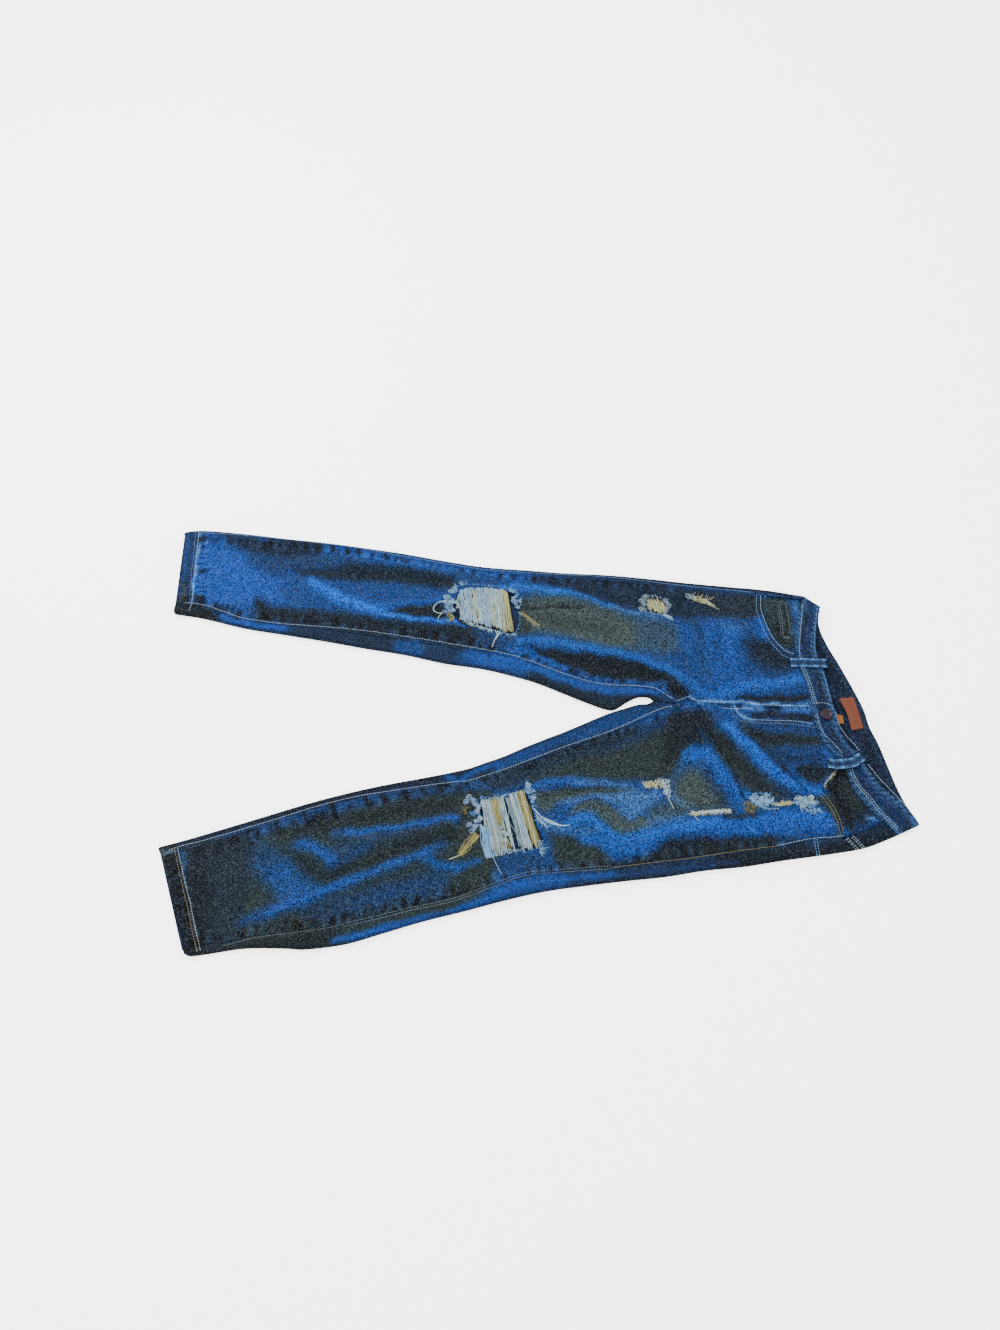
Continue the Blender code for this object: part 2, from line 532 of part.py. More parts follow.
def band_row(share):
    """One row of the waistband, from the centre front round the back to the centre front."""
    def mix(low, high):
        blend = np.array(low) * (1.0 - share) + np.array(high) * share
        return blend + np.array([BAND_OFFSET * (1.0 - share), 0.0])

    top_right, top_left = PlanLine(BAND_TOP_RIGHT), PlanLine(BAND_TOP_LEFT)
    top_back = PlanLine(BAND_TOP_BACK)
    points = []
    for step in range(BAND_FRONT_STEPS + 1):
        part = step / BAND_FRONT_STEPS
        plan = mix(RIGHT.front_waist.at(1.0 - part), top_right.at(part))
        if step == 0:
            plan = plan + np.array([0.0, SEAM_GAP / 2])
        points.append(lifted(RIGHT, plan, WAISTBAND_RAISE))
    for angle in (0.75, 0.5, 0.25):
        points.append(roll_point(mix(*BAND_RIGHT_EDGE), np.array(BAND_RIGHT_INWARD), angle * math.pi))
    across_back = SEAT_PARTS + [2.0 - part for part in reversed(SEAT_PARTS[:-1])]
    for part in across_back:
        low = RIGHT.back_waist.at(part) if part <= 1.0 else LEFT.back_waist.at(2.0 - part)
        plan = mix(low, top_back.at(part / 2))
        points.append(np.array([plan[0], plan[1], SEAT_LIFT]))
    for angle in (0.25, 0.5, 0.75):
        points.append(roll_point(mix(*BAND_LEFT_EDGE), np.array(BAND_LEFT_INWARD), angle * math.pi))
    points.append(lifted(LEFT, mix(*BAND_LEFT_TURN), WAISTBAND_RAISE))
    for step in range(BAND_FRONT_STEPS + 1):
        part = step / BAND_FRONT_STEPS
        plan = mix(LEFT.front_waist.at(part), top_left.at(part))
        if step == BAND_FRONT_STEPS:
            plan = plan - np.array([0.0, SEAM_GAP / 2])
        points.append(lifted(LEFT, plan, WAISTBAND_RAISE))
    return points


def waistband(collection, finish):
    """Waistband: one folded strip, open at the centre front."""
    rows = [band_row(step / BAND_ROWS) for step in range(BAND_ROWS + 1)]
    return cloth_patch("waistband", rows, collection, finish, WAISTBAND_WALL, flip=False)


def strip_between(half, low, high, rows, columns, drop):
    """Rows of points between two plan lines, at a height under the upper layer's face."""
    low, high = PlanLine(low), PlanLine(high)
    result = []
    for row in range(rows + 1):
        share = row / rows
        plans = [low.at(step / columns) * (1.0 - share) + high.at(step / columns) * share
                 for step in range(columns + 1)]
        result.append([lifted(half, plan, -drop(share)) for plan in plans])
    return result


def pocket_facings(collection, finish):
    """The cloth that shows inside each front pocket's mouth."""
    right_low = [(0.317, 0.1925), (0.316, 0.172), (0.320, 0.143), (0.330, 0.116), (0.344, 0.096),
                 (0.366, 0.083)]
    right_high = [(0.3845, 0.1850), (0.3775, 0.160), (0.3695, 0.130), (0.3680, 0.112), (0.3690, 0.096),
                  (0.3708, 0.080)]
    rows = strip_between(RIGHT, right_low, right_high, 5, 8, lambda share: FACING_DROP)
    cloth_patch("pocket_facing_right", rows, collection, finish, CLOTH, flip=True)
    left_low = [(0.399, -0.056), (0.381, -0.066), (0.362, -0.092), (0.372, -0.116), (0.380, -0.136),
                (0.384, -0.150)]
    left_high = [(0.4065, -0.056), (0.4105, -0.068), (0.4160, -0.092), (0.4230, -0.104), (0.4330, -0.119),
                 (0.4440, -0.1330)]
    rows = strip_between(LEFT, left_low, left_high, 5, 8,
                         lambda share: FACING_DROP + POCKET_GAPE * (1.0 - smooth_step(share, 0.25, 0.85)))
    cloth_patch("pocket_facing_left", rows, collection, finish, CLOTH, flip=True)


def coin_pocket(collection, finish):
    """Small pocket on the right facing, inside the pocket mouth."""
    low = [(0.3300, 0.170), (0.3335, 0.148), (0.3420, 0.1235), (0.3465, 0.1165)]
    high = [(0.3600, 0.172), (0.3590, 0.148), (0.3575, 0.1235), (0.3570, 0.1165)]
    rows = strip_between(RIGHT, low, high, 3, 5, lambda share: COIN_POCKET_DROP)
    cloth_patch("coin_pocket", rows, collection, finish, COIN_POCKET_WALL, flip=True)


def knee_threads(name, half, columns, slits, collection, cutters, finish):
    """Bare weft threads that span a knee rip, with open slits; made from the front panel's points."""
    rows = []
    for row in range(*KNEE_ROWS):
        line = [front_point(half, row, column / FRONT_COLUMNS) for column in range(*columns)]
        rows.append([point - np.array([0.0, 0.0, KNEE_THREAD_DROP]) for point in line])
    patch = cloth_patch(name, rows, collection, finish, KNEE_THREAD_WALL, flip=half.side > 0)
    cut(patch, slits, cutters)


def back_pocket(name, outer, inner, collection, finish):
    """Patch pocket under the seat, a five-sided outline below its top edge."""
    outer, inner = np.array(outer), np.array(inner)
    across = inner - outer
    down = np.array([across[1], -across[0]]) / np.linalg.norm(across)
    if down[0] > 0:
        down = -down
    corner = down * (BACK_POCKET_DEPTH - BACK_POCKET_TIP)
    outline = [outer, inner, inner - across * BACK_POCKET_TAPER + corner,
               (outer + inner) / 2 + down * BACK_POCKET_DEPTH, outer + across * BACK_POCKET_TAPER + corner]
    curve = bpy.data.curves.new(name, "CURVE")
    curve.dimensions = "2D"
    curve.fill_mode = "BOTH"
    curve.extrude = CLOTH / 2
    spline = curve.splines.new("POLY")
    spline.points.add(len(outline) - 1)
    for point, plan in zip(spline.points, outline):
        point.co = (plan[0], plan[1], 0.0, 1.0)
    spline.use_cyclic_u = True
    curve.materials.append(finish)
    piece = bpy.data.objects.new(name, curve)
    piece.location.z = CLOTH / 2
    collection.objects.link(piece)


def back_loop(name, centre, angle, collection, finish):
    """Belt loop under the back of the waistband, lying flat."""
    bm = bmesh.new()
    bmesh.ops.create_cube(bm, size=1.0)
    bmesh.ops.scale(bm, verts=bm.verts[:], vec=(LOOP_LENGTH, LOOP_WIDTH, CLOTH))
    mesh = bpy.data.meshes.new(name)
    bm.to_mesh(mesh)
    bm.free()
    loop = add_object(name, mesh, collection, finish)
    loop.location = (centre[0], centre[1], CLOTH / 2)
    loop.rotation_euler.z = angle


def front_loop(name, half, line, arch, collection, finish):
    """Belt loop over the front of the waistband, following a plan line and arched in the middle."""
    route = PlanLine(line)
    rows = []
    for step in range(LOOP_STEPS + 1):
        share = step / LOOP_STEPS
        side = inward_of(route, share, 1.0) * LOOP_WIDTH / 2
        rise = WAISTBAND_RAISE + SEAM_GAP + LOOP_WALL + arch * math.sin(math.pi * share) ** 2
        rows.append([lifted(half, route.at(share) + side * (column - 1), rise) for column in range(3)])
    cloth_patch(name, rows, collection, finish, LOOP_WALL, flip=True)


def button(collection, finish):
    """Domed metal button on the left end of the waistband; the profile is turned about its axis."""
    profile = [(0.0, BUTTON_HEIGHT), (0.45, 0.90 * BUTTON_HEIGHT), (0.62, 0.78 * BUTTON_HEIGHT),
               (0.80, 0.96 * BUTTON_HEIGHT), (0.93, 0.86 * BUTTON_HEIGHT), (1.0, 0.55 * BUTTON_HEIGHT),
               (0.86, 0.22 * BUTTON_HEIGHT), (0.50, 0.0), (0.0, 0.0)]
    bm = bmesh.new()
    verts = [bm.verts.new((radius * BUTTON_RADIUS, 0.0, height)) for radius, height in profile]
    for start, end in zip(verts, verts[1:]):
        bm.edges.new((start, end))
    bmesh.ops.spin(bm, geom=bm.verts[:] + bm.edges[:], cent=(0, 0, 0), axis=(0, 0, 1), angle=2 * math.pi,
                   steps=20, use_merge=True)
    bmesh.ops.remove_doubles(bm, verts=bm.verts[:], dist=0.00001)
    bmesh.ops.recalc_face_normals(bm, faces=bm.faces[:])
    mesh = bpy.data.meshes.new("button")
    bm.to_mesh(mesh)
    bm.free()
    mesh.shade_smooth()
    piece = add_object("button", mesh, collection, finish)
    height = top_height(LEFT, BUTTON_PLACE) + WAISTBAND_RAISE + SEAM_GAP + BUTTON_SEAT
    piece.location = (*BUTTON_PLACE, height)


def label_patch(name, low, high, rest, curl, collection, finish, wall, rows, columns):
    """A small flat patch on the inner face of the back waistband, its front edge curling up."""
    low, high = PlanLine(low), PlanLine(high)
    points = []
    for row in range(rows + 1):
        share = row / rows
        line = []
        for column in range(columns + 1):
            plan = low.at(column / columns) * (1.0 - share) + high.at(column / columns) * share
            height = rest + curl * (1.0 - smooth_step(share, 0.0, 0.7))
            line.append(np.array([plan[0], plan[1], height]))
        points.append(line)
    cloth_patch(name, points, collection, finish, wall, flip=True)


def build():
    """Build every piece of the jeans."""
    for item in list(bpy.data.objects):
        bpy.data.objects.remove(item, do_unlink=True)
    jeans = bpy.data.collections.new("ripped_jeans")
    cutters = bpy.data.collections.new("cutters")
    for group in (jeans, cutters):
        bpy.context.scene.collection.children.link(group)

    denim = material("denim", DENIM, 0.85)
    front_panel("front_right", RIGHT, RIGHT_POCKET, RIGHT_KNEE_RIP, jeans, cutters, denim)
    front_panel("front_left", LEFT, LEFT_POCKET, LEFT_KNEE_RIP, jeans, cutters, denim)
    dark = material("denim_dark", DENIM_DARK, 0.88)
    for side, half in (("right", RIGHT), ("left", LEFT)):
        back_panel(f"back_{side}", half, jeans, dark)
        yoke_panel(f"yoke_{side}", half, jeans, dark)
    waistband(jeans, material("waistband_denim", DENIM_DARK, 0.85))
    facing = material("facing_denim", DENIM, 0.88)
    pocket_facings(jeans, facing)
    coin_pocket(jeans, facing)
    thread = material("weft_thread", THREAD, 0.90)
    knee_threads("knee_threads_right", RIGHT, RIGHT_KNEE_COLUMNS, RIGHT_SLITS, jeans, cutters, thread)
    knee_threads("knee_threads_left", LEFT, LEFT_KNEE_COLUMNS, LEFT_SLITS, jeans, cutters, thread)
    back_pocket("back_pocket_right", (0.328, 0.190), (0.328, 0.052), jeans, dark)
    back_pocket("back_pocket_left", (0.361, -0.176), (0.330, -0.040), jeans, dark)
    loops = material("loop_denim", DENIM, 0.85)
    back_loop("belt_loop_back_right", (0.3960, 0.118), 0.10, jeans, loops)
    back_loop("belt_loop_back_centre", (0.4240, 0.028), 0.34, jeans, loops)
    back_loop("belt_loop_back_left", (0.4510, -0.078), 0.24, jeans, loops)
    front_loop("belt_loop_front_right", RIGHT, LOOP_LINE_RIGHT, LOOP_ARCH_RIGHT, jeans, loops)
    front_loop("belt_loop_front_left", LEFT, LOOP_LINE_LEFT, LOOP_ARCH_LEFT, jeans, loops)
    button(jeans, material("aged_copper", AGED_COPPER, 0.42, 0.9))
    inner_face = SEAT_LIFT + WAISTBAND_WALL + SEAM_GAP + LABEL_WALL
    label_patch("label", LABEL_FRONT, LABEL_BACK, inner_face, LABEL_CURL, jeans,
                material("leatherette", LEATHERETTE, 0.6), LABEL_WALL, 4, 6)
    label_patch("size_tab", TAB_FRONT, TAB_BACK, inner_face, 0.0, jeans,
                material("tab_tape", TAB_ORANGE, 0.8), LABEL_WALL, 2, 2)


build()
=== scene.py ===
"""Looks of ripped skinny jeans laid flat on their back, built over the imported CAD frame.

Row frame, metres: +X runs from the hems to the waist, +Y from the wearer's left leg to the right
leg, +Z up from the surface. Plan points in the charts are millimetres, which MM turns to metres.
"""

import enum
import logging
import math
from collections.abc import Callable
from dataclasses import dataclass

import bmesh
import bpy
import mathutils
import numpy as np
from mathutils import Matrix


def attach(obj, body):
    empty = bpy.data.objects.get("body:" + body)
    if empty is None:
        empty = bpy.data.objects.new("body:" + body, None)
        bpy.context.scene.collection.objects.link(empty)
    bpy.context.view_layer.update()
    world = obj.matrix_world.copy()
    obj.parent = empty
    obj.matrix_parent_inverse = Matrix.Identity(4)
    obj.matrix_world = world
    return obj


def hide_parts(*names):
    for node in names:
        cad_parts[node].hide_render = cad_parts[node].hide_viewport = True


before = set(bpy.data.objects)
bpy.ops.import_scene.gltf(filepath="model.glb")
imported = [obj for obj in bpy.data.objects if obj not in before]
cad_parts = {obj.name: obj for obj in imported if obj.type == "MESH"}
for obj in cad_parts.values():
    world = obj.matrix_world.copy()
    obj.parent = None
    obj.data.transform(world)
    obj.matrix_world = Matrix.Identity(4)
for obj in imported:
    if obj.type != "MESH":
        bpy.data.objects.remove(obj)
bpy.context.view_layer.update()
LOG = logging.getLogger("ripped_jeans")

MM = 0.001

Point = tuple[float, float]
# Plan points in millimetres: a text such as "12,5 30,8.5", or pairs of numbers
Points = str | list[Point]
Span = tuple[float, float]
# A thread: its path, its radius along it and its linear colour
Strand = tuple[np.ndarray, np.ndarray | float, np.ndarray]
Array = np.ndarray
Finish = bpy.types.Material
Piece = bpy.types.Object
Pieces = dict[str, Piece]

# Cloth and how it lies, as in the CAD part
CLOTH = 0.0012
SEAM_GAP = 0.0003
CROTCH_GAP = 0.0007
ROLL_RADIUS = 0.0036
LEG_SAG = 0.0010
HEM_RISE = 0.0012
WAIST_RISE = 0.0036
SAG_REACH = 0.016
LEAST_RISE = 0.0036
LEAST_BLEND = 0.0010
FOLD_MARGIN = 0.014
SEAT_LIFT = 0.0015
WAISTBAND_RAISE = 0.0008
# The seat rises over this stretch, and the cloth gapes at the hems and at the waist over these
SEAT_SPAN = (0.110, 0.145)
HEM_SPAN = (-0.430, -0.340)
WAIST_SPAN = (0.220, 0.370)
# Stations along a leg, counted from the hem, at which its parts begin and end
WAIST_ROW = 52
YOKE_ROW = 49
CROTCH_ROW = 41
SEAT_ROW = 43
# The crotch on the seams and on the inner folds, and how far the backs part and draw back there
CROTCH_TOP = (196, 28)
CROTCH_FOLD = (166, 32)
CROTCH_SPREAD = 4 * MM
CROTCH_BACKSET = -1.8 * MM
CENTRE_BACK = "190,29 250,27.5 300,26.5 347,26.2 412,28"
CENTRE_FRONT = [CROTCH_TOP, (215, 30), (254, 27), (287, 25), (325, 20), (378, 19)]
# Depth of the hems' doubled cloth, in rows
HEM_DEPTH_ROWS = 1.15


class Tone(enum.Enum):
    """Washed, dirty and torn tones of the cloth, and the tones of its painted highlights and shade, sRGB."""

    BRIGHT = "#0f6fd0"
    BLUE = "#1c5cb0"
    INDIGO = "#24508f"
    DUSK = "#2a466c"
    NAVY = "#24344e"
    SLATE = "#333f4b"
    OLIVE = "#3b4744"
    MOSS = "#545f5a"
    CHAR = "#252d33"
    INK = "#10151c"
    PALE = "#527cb0"
    SKY = "#6fa5dc"
    ASH = "#70808c"
    CREAM = "#b9b08a"
    TAN = "#7d6a50"


# The turned-up hems stand this much past the plain ones, outer and inner side, millimetres
HEM_REACH = {"right": (6.5, 13.0), "left": (11.0, 9.5)}
# Radius of the hem's corners at the outer and the inner fold, millimetres
HEM_ROUND = {"right": (7.0, 5.0), "left": (12.0, 2.5)}


def read_points(line: Points) -> list[Point]:
    """Pairs of numbers from plan points given in either way."""
    if isinstance(line, str):
        return [tuple(float(number) for number in pair.split(",")) for pair in line.split()]
    return list(line)


def lengthened(line: Points, reach: float) -> list:
    """Plan points whose first one is moved straight on along their line.

    Args:
        line: plan points, millimetres.
        reach: how far the first one moves, millimetres.

    Returns:
        The points, the first one moved.
    """
    points = read_points(line)
    first, second = np.array(points[0], float), np.array(points[1], float)
    moved = first + (first - second) / np.linalg.norm(first - second) * reach
    return [tuple(moved)] + points[1:]


class Half:
    """One leg and its hip: its seams and folded edges in plan, points in millimetres."""

    def __init__(self, name: str, side: float, outseam: Points, inseam: Points, outer_fold: Points,
                 waistband_fold: Points, inner_fold: Points, front_waist: Points,
                 back_waist: Points) -> None:
        """Read the lines of one half.

        Args:
            name: the wearer's right or left.
            side: +1 for the right half, -1 for the left one.
            outseam: outer seam of the front, hem to waist.
            inseam: inner seam of the front, hem to crotch.
            outer_fold: outer folded edge of the leg, hem to waist.
            waistband_fold: the same edge across the waistband.
            inner_fold: inner folded edge, hem to crotch.
            front_waist: top of the front, outseam to centre.
            back_waist: top of the back, side to centre.
        """
        self.name = name
        self.side = side
        self.outseam = PlanLine(lengthened(outseam, HEM_REACH[name][0]))
        self.inseam = PlanLine(lengthened(inseam, HEM_REACH[name][1]) + [CROTCH_TOP])
        self.centre_front = PlanLine(CENTRE_FRONT)
        self.centre_back = PlanLine(CENTRE_BACK)
        outer_fold = lengthened(outer_fold, HEM_REACH[name][0])
        inner_fold = lengthened(inner_fold, HEM_REACH[name][1])
        self.outer_fold = PlanLine(outer_fold)
        self.edge = PlanLine(outer_fold + read_points(waistband_fold))
        crotch = (CROTCH_FOLD[0], CROTCH_FOLD[1] + side * CROTCH_GAP / MM)
        self.crotch_fold = np.array(crotch) * MM
        self.inner_fold = PlanLine(inner_fold + [crotch])
        self.front_waist = PlanLine(front_waist)
        self.back_waist = PlanLine(back_waist)

    def rounded(self, plan: Array) -> Array:
        """Plan points with the hem's two corners rounded off.

        Args:
            plan: plan points, metres.

        Returns:
            The points, those of the corners drawn in.
        """
        ends = self.outer_fold.at(0.0), self.inner_fold.at(0.0)
        outer, inner = (radius * MM for radius in HEM_ROUND[self.name])
        for line, corner, other, radius in ((self.outer_fold, ends[0], ends[1], outer),
                                            (self.inner_fold, ends[1], ends[0], inner)):
            basis = np.array([(other - corner) / np.linalg.norm(other - corner), line.tangent(0.0)])
            away = np.maximum(radius - (plan - corner) @ np.linalg.inv(basis), 0.0)
            reach = np.linalg.norm(away, axis=-1, keepdims=True)
            largest = away.max(axis=-1, keepdims=True)
            inside_corner = away.min(axis=-1, keepdims=True) > 0.0
            moved = corner + (radius - away * largest / np.maximum(reach, 1e-9)) @ basis
            plan = np.where(inside_corner, moved, plan)
        return plan


class PlanLine:
    """A smooth line in plan through given points, read by its share of length."""

    STEPS = 12
    CHUNK = 4000

    def __init__(self, line: Points) -> None:
        """Draw the line through its points.

        Args:
            line: points that it passes through, millimetres.
        """
        knots = np.array(read_points(line), float) * MM
        padded = np.vstack([2 * knots[0] - knots[1], knots, 2 * knots[-1] - knots[-2]])
        dense = []
        for a, b, c, d in zip(padded, padded[1:], padded[2:], padded[3:]):
            for step in range(self.STEPS):
                t = step / self.STEPS
                dense.append(0.5 * (2 * b + (c - a) * t + (2 * a - 5 * b + 4 * c - d) * t ** 2
                                    + (3 * b - a - 3 * c + d) * t ** 3))
        dense.append(knots[-1])
        self.points = np.array(dense)
        lengths = np.linalg.norm(np.diff(self.points, axis=0), axis=1)
        self.run = np.concatenate([[0.0], np.cumsum(lengths)])
        self.length = float(self.run[-1])

    def at(self, share: Array | float) -> Array:
        """Points at shares of the length; past the end the line goes straight on.

        Args:
            share: shares of the length, 0 at its start and 1 at its end.

        Returns:
            Plan points in metres.
        """
        run = np.asarray(share, float) * self.length
        point = np.stack([np.interp(run, self.run, self.points[:, axis]) for axis in (0, 1)], axis=-1)
        past = np.maximum(run - self.length, 0.0)
        ahead = self.points[-1] - self.points[-2]
        return point + past[..., None] * ahead / np.linalg.norm(ahead)

    def tangent(self, share: Array | float) -> Array:
        """Unit direction of the line at shares of its length.

        Args:
            share: shares of the length, 0 at its start and 1 at its end.

        Returns:
            Unit vectors.
        """
        step = 0.004
        share = np.asarray(share, float)
        ahead = self.at(np.minimum(share + step, 1.0)) - self.at(np.maximum(share - step, 0.0))
        return ahead / np.linalg.norm(ahead, axis=-1, keepdims=True)

    def nearest(self, plan: Array) -> tuple[Array, Array, Array]:
        """Distance from plan points to the line, run along it, and side: +1 is left of its direction.

        Args:
            plan: plan points, metres.

        Returns:
            Distance, run and side, each as many as the points.
        """
        flat = plan.reshape(-1, 2)
        start, span = self.points[:-1], np.diff(self.points, axis=0)
        square = np.einsum("ij,ij->i", span, span)
        distance, run, side = (np.empty(len(flat)) for _ in range(3))
        for low in range(0, len(flat), self.CHUNK):
            part = flat[low:low + self.CHUNK, None, :] - start
            along = np.clip(np.einsum("nij,ij->ni", part, span) / square, 0.0, 1.0)
            away = part - along[..., None] * span
            gap = np.einsum("nij,nij->ni", away, away)
            best = np.argmin(gap, axis=1)
            row = np.arange(len(best))
            distance[low:low + self.CHUNK] = np.sqrt(gap[row, best])
            run[low:low + self.CHUNK] = self.run[best] + along[row, best] * np.sqrt(square[best])
            near, line = part[row, best], span[best]
            side[low:low + self.CHUNK] = np.sign(line[:, 0] * near[:, 1] - line[:, 1] * near[:, 0])
        shape = plan.shape[:-1]
        return distance.reshape(shape), run.reshape(shape), side.reshape(shape)

    def offset(self, distance: float, share: Array) -> Array:
        """Points beside the line, to its left where the distance is positive."""
        ahead = self.tangent(share)
        return self.at(share) + np.stack([-ahead[..., 1], ahead[..., 0]], axis=-1) * distance


# Plan of both halves, as in the CAD part
RIGHT = Half(
    name="right",
    side=1.0,
    outseam="-492,289 -410,284 -322,274 -234,262 -148,248 -61,231 24,222 109,216 194,208 250,201 334,192 "
        "389,186",
    inseam="-485,177 -422,160 -367,149 -287,139 -206,127 -109,112 -52,103 6,86 66,66 105,55 152,51 177,43",
    outer_fold="-495.5,301 -471,302.6 -412,297 -353,289 -294,282 -235,273 -177,263 -119,251 -62,241 -4,236 "
        "53,231 110,228 167,222 223,215 279,209 336,203 391,193",
    waistband_fold="411,177 425,166",
    inner_fold="-487,163 -454,157 -396,142 -339,132 -283,122 -227,111 -171,101 -116,88 -61,79 -6,64 21,54 "
        "48,42 75,30 101,20 115,19.5 130,29 145,37 159,37.5",
    front_waist="389,186 381,166 369,119 372,76 377,44 378,19",
    back_waist="390,188.6 379,165 376,145 380,118 393,80 412,28")

LEFT = Half(
    name="left",
    side=-1.0,
    outseam="-410,-291 -369,-286 -334,-279 -261,-272 -187,-256 -104,-232 -31,-213 26,-201 121,-192 210,-180 "
        "312,-169 358,-161 404,-157 449,-137",
    inseam="-456,-180 -362,-150 -291,-128 -219,-109 -105,-86 29,-46 132,-5 180,18",
    outer_fold="-413,-303 -397,-301 -349,-294 -300,-294 -276,-295 -228,-289 -180,-275 -132,-261 -83,-249 "
        "-34,-236 16,-225 66,-218 116,-212 166,-207 217,-199 267,-194 318,-186 370,-179 422,-170 465,-154",
    waistband_fold="495,-141 510,-134",
    inner_fold="-463,-166 -438,-159 -390,-144 -340,-128 -290,-112 -240,-98 -189,-86 -137,-76 -86,-65 -60,-56 "
        "-33,-46 -7,-34 19,-23 46,-12 73,0 100,12 115,17.5 130,22 145,26.5 158,27.5",
    front_waist="449,-137 435,-120 418,-94 412,-67 404,-50 390,-35 381,-5 378,19",
    back_waist="463.4,-149.8 445,-105 434,-60 422,-12 412,28")


# A fold or crease is (line in plan, height, half width), millimetres; a trough's height is negative
FOLDS = [
    ("-306,208 -249,177 -181,155 -109,144", 5, 13), ("-335,229 -266,226 -170,219", -2.5, 12),
    ("-450,262 -400,262 -310,258", -2, 12), ("-260,252 -160,236 -80,222", 3.5, 12),
    ("-390,190 -300,166 -210,145", 2.5, 14), ("-9,198 54,190 107,173 158,160 205,142", 4, 12),
    ("-6,119 97,104 164,81 216,44", 6, 11), ("12,102 96,85 180,62", -3.5, 9),
    ("20,150 100,138 190,112", -2.5, 18), ("250,60 310,52 365,50", 4.5, 12),
    ("240,150 290,130 330,100", 3, 18), ("-336,-167 -291,-175 -250,-190", 4.5, 10),
    ("-249,-194 -216,-164 -104,-137", 5.5, 11), ("-337,-255 -282,-235 -237,-217 -166,-191 -119,-177", 5, 13),
    ("-296,-187 -261,-212 -226,-196 -143,-166", -3.5, 9), ("-410,-235 -350,-225 -320,-205", -2, 16),
    ("-200,-118 -120,-104 -80,-98", 2.5, 9), ("4,-94 53,-85 102,-85", 3.5, 10),
    ("42,-119 101,-106 150,-103", 2.5, 11),
    ("51,-139 76,-133 99,-158 122,-173 160,-154 214,-141 291,-132", 6, 10),
    ("58,-164 84,-160 104,-184", -2, 9), ("150,-130 200,-118 262,-112", -3, 12),
    ("100,-50 160,-35 210,-40", -2.5, 18), ("246,4 281,-23 311,-57 332,-88 353,-100", 5.5, 9),
    ("216,-10 241,-55 268,-92", 4.5, 10), ("236,-12 266,-46 300,-84", -3, 8),
    ("290,-4 345,-22 385,-40", 3, 9), ("300,-24 340,-62 372,-82", -3, 10),
]

# Edges of the front pocket mouths, outlines of the knee rips
RIGHT_POCKET = "330,196 328,172 332,147 341,122 354,104 371,93"
LEFT_POCKET = "396,-154 391,-126 383,-108 376,-94 394,-76 411,-66"
POCKET_CLEAR = 60
RIGHT_KNEE_RIP = ("-100,196 -82,203 -60,199 -36,202 -18,192 -12,166 -18,138 -30,131 -46,134 -68,146 -84,145 "
    "-99,152 -106,174")
LEFT_KNEE_RIP = ("-70,-112 -48,-107 -28,-103 -10,-94 0,-116 6,-140 14,-162 -6,-172 -24,-174 -44,-181 "
    "-56,-166 -62,-142")

# Waistband: its top edges, the ends of its turns at both sides, and the way that the turns lie
BAND_TOP_RIGHT = "409.5,13 407,29 402,70 395,104 401,142 409.5,171"
BAND_TOP_LEFT = "486,-125 478,-113 456,-93 437,-63 426,-41 419,-33 411,-14 409.5,13"
BAND_TOP_BACK = "409.5,171 406,145 414,114 427,83 448,24 453,-5 462,-33 475,-88 484,-115 490,-131"
BAND_RIGHT_EDGE = ((393.5, 192.5), (411.5, 176.5))
BAND_LEFT_EDGE = ((467, -154), (495.5, -140.5))
BAND_LEFT_TURN = ((461, -147), (490.5, -132))
BAND_RIGHT_INWARD = (-0.15, -0.99)
BAND_LEFT_INWARD = (-0.42, 0.91)


FINE_CREASES = [
    ("-470,240 -440,222 -400,214", 1.2, 7), ("-462,200 -440,208 -400,206", -1.0, 6),
    ("-420,285 -380,262 -350,256", -1.4, 7), ("-330,240 -300,232 -200,238", -1.2, 6),
    ("-215,172 -190,178 -150,184 -120,186", 1.8, 5), ("-200,168 -160,168 -118,164", -2.0, 6),
    ("-140,215 -108,214 -104,200", -1.4, 5), ("-60,118 -30,122 10,120", 1.2, 6),
    ("0,172 30,176 78,174", -1.5, 3.5), ("10,205 60,197 84,190", 1.2, 5), ("90,215 150,205 200,196", -1.2, 7),
    ("205,150 222,146 240,144", 1.4, 5), ("190,120 214,108 232,84", -1.4, 8),
    ("262,58 300,64 340,70", 1.4, 6), ("296,118 326,106 346,88", -2.0, 9), ("280,34 330,33 368,34", -2.2, 4),
    ("236,170 262,152 300,150", 1.2, 8), ("196,24 214,34 232,31", 1.6, 4),
    ("-430,-180 -400,-196 -340,-196", -1.0, 7), ("-292,-168 -270,-173 -256,-184", 2.0, 6),
    ("-300,-222 -280,-228 -240,-226", 1.0, 6), ("-140,-184 -112,-192 -84,-190", 1.8, 7),
    ("-120,-176 -104,-162 -98,-150", -1.2, 5), ("-70,-196 -40,-192 -10,-188", -1.0, 6),
    ("10,-96 60,-93 104,-93", -1.6, 4), ("112,-112 104,-100 88,-104", 1.0, 4),
    ("106,-140 128,-128 150,-112 166,-106", -1.8, 5), ("62,-128 80,-116 104,-122", -1.6, 6),
    ("190,-100 206,-84 212,-66", -1.6, 9), ("226,-30 240,-46 252,-80 262,-96", 1.6, 5),
    ("285,-8 302,-14 330,-20 372,-28", -2.0, 5), ("330,-42 356,-48 388,-46", 1.8, 6),
    ("346,-72 362,-66 380,-70", -2.2, 7), ("322,-64 336,-82 352,-94", 1.6, 4),
    ("196,-170 240,-172 300,-160", -1.4, 6), ("330,-140 360,-146 388,-140", 1.2, 5),
    ("190,-20 204,-36 206,-54", -1.2, 7), ("140,6 160,8 186,12", 1.2, 4),
]

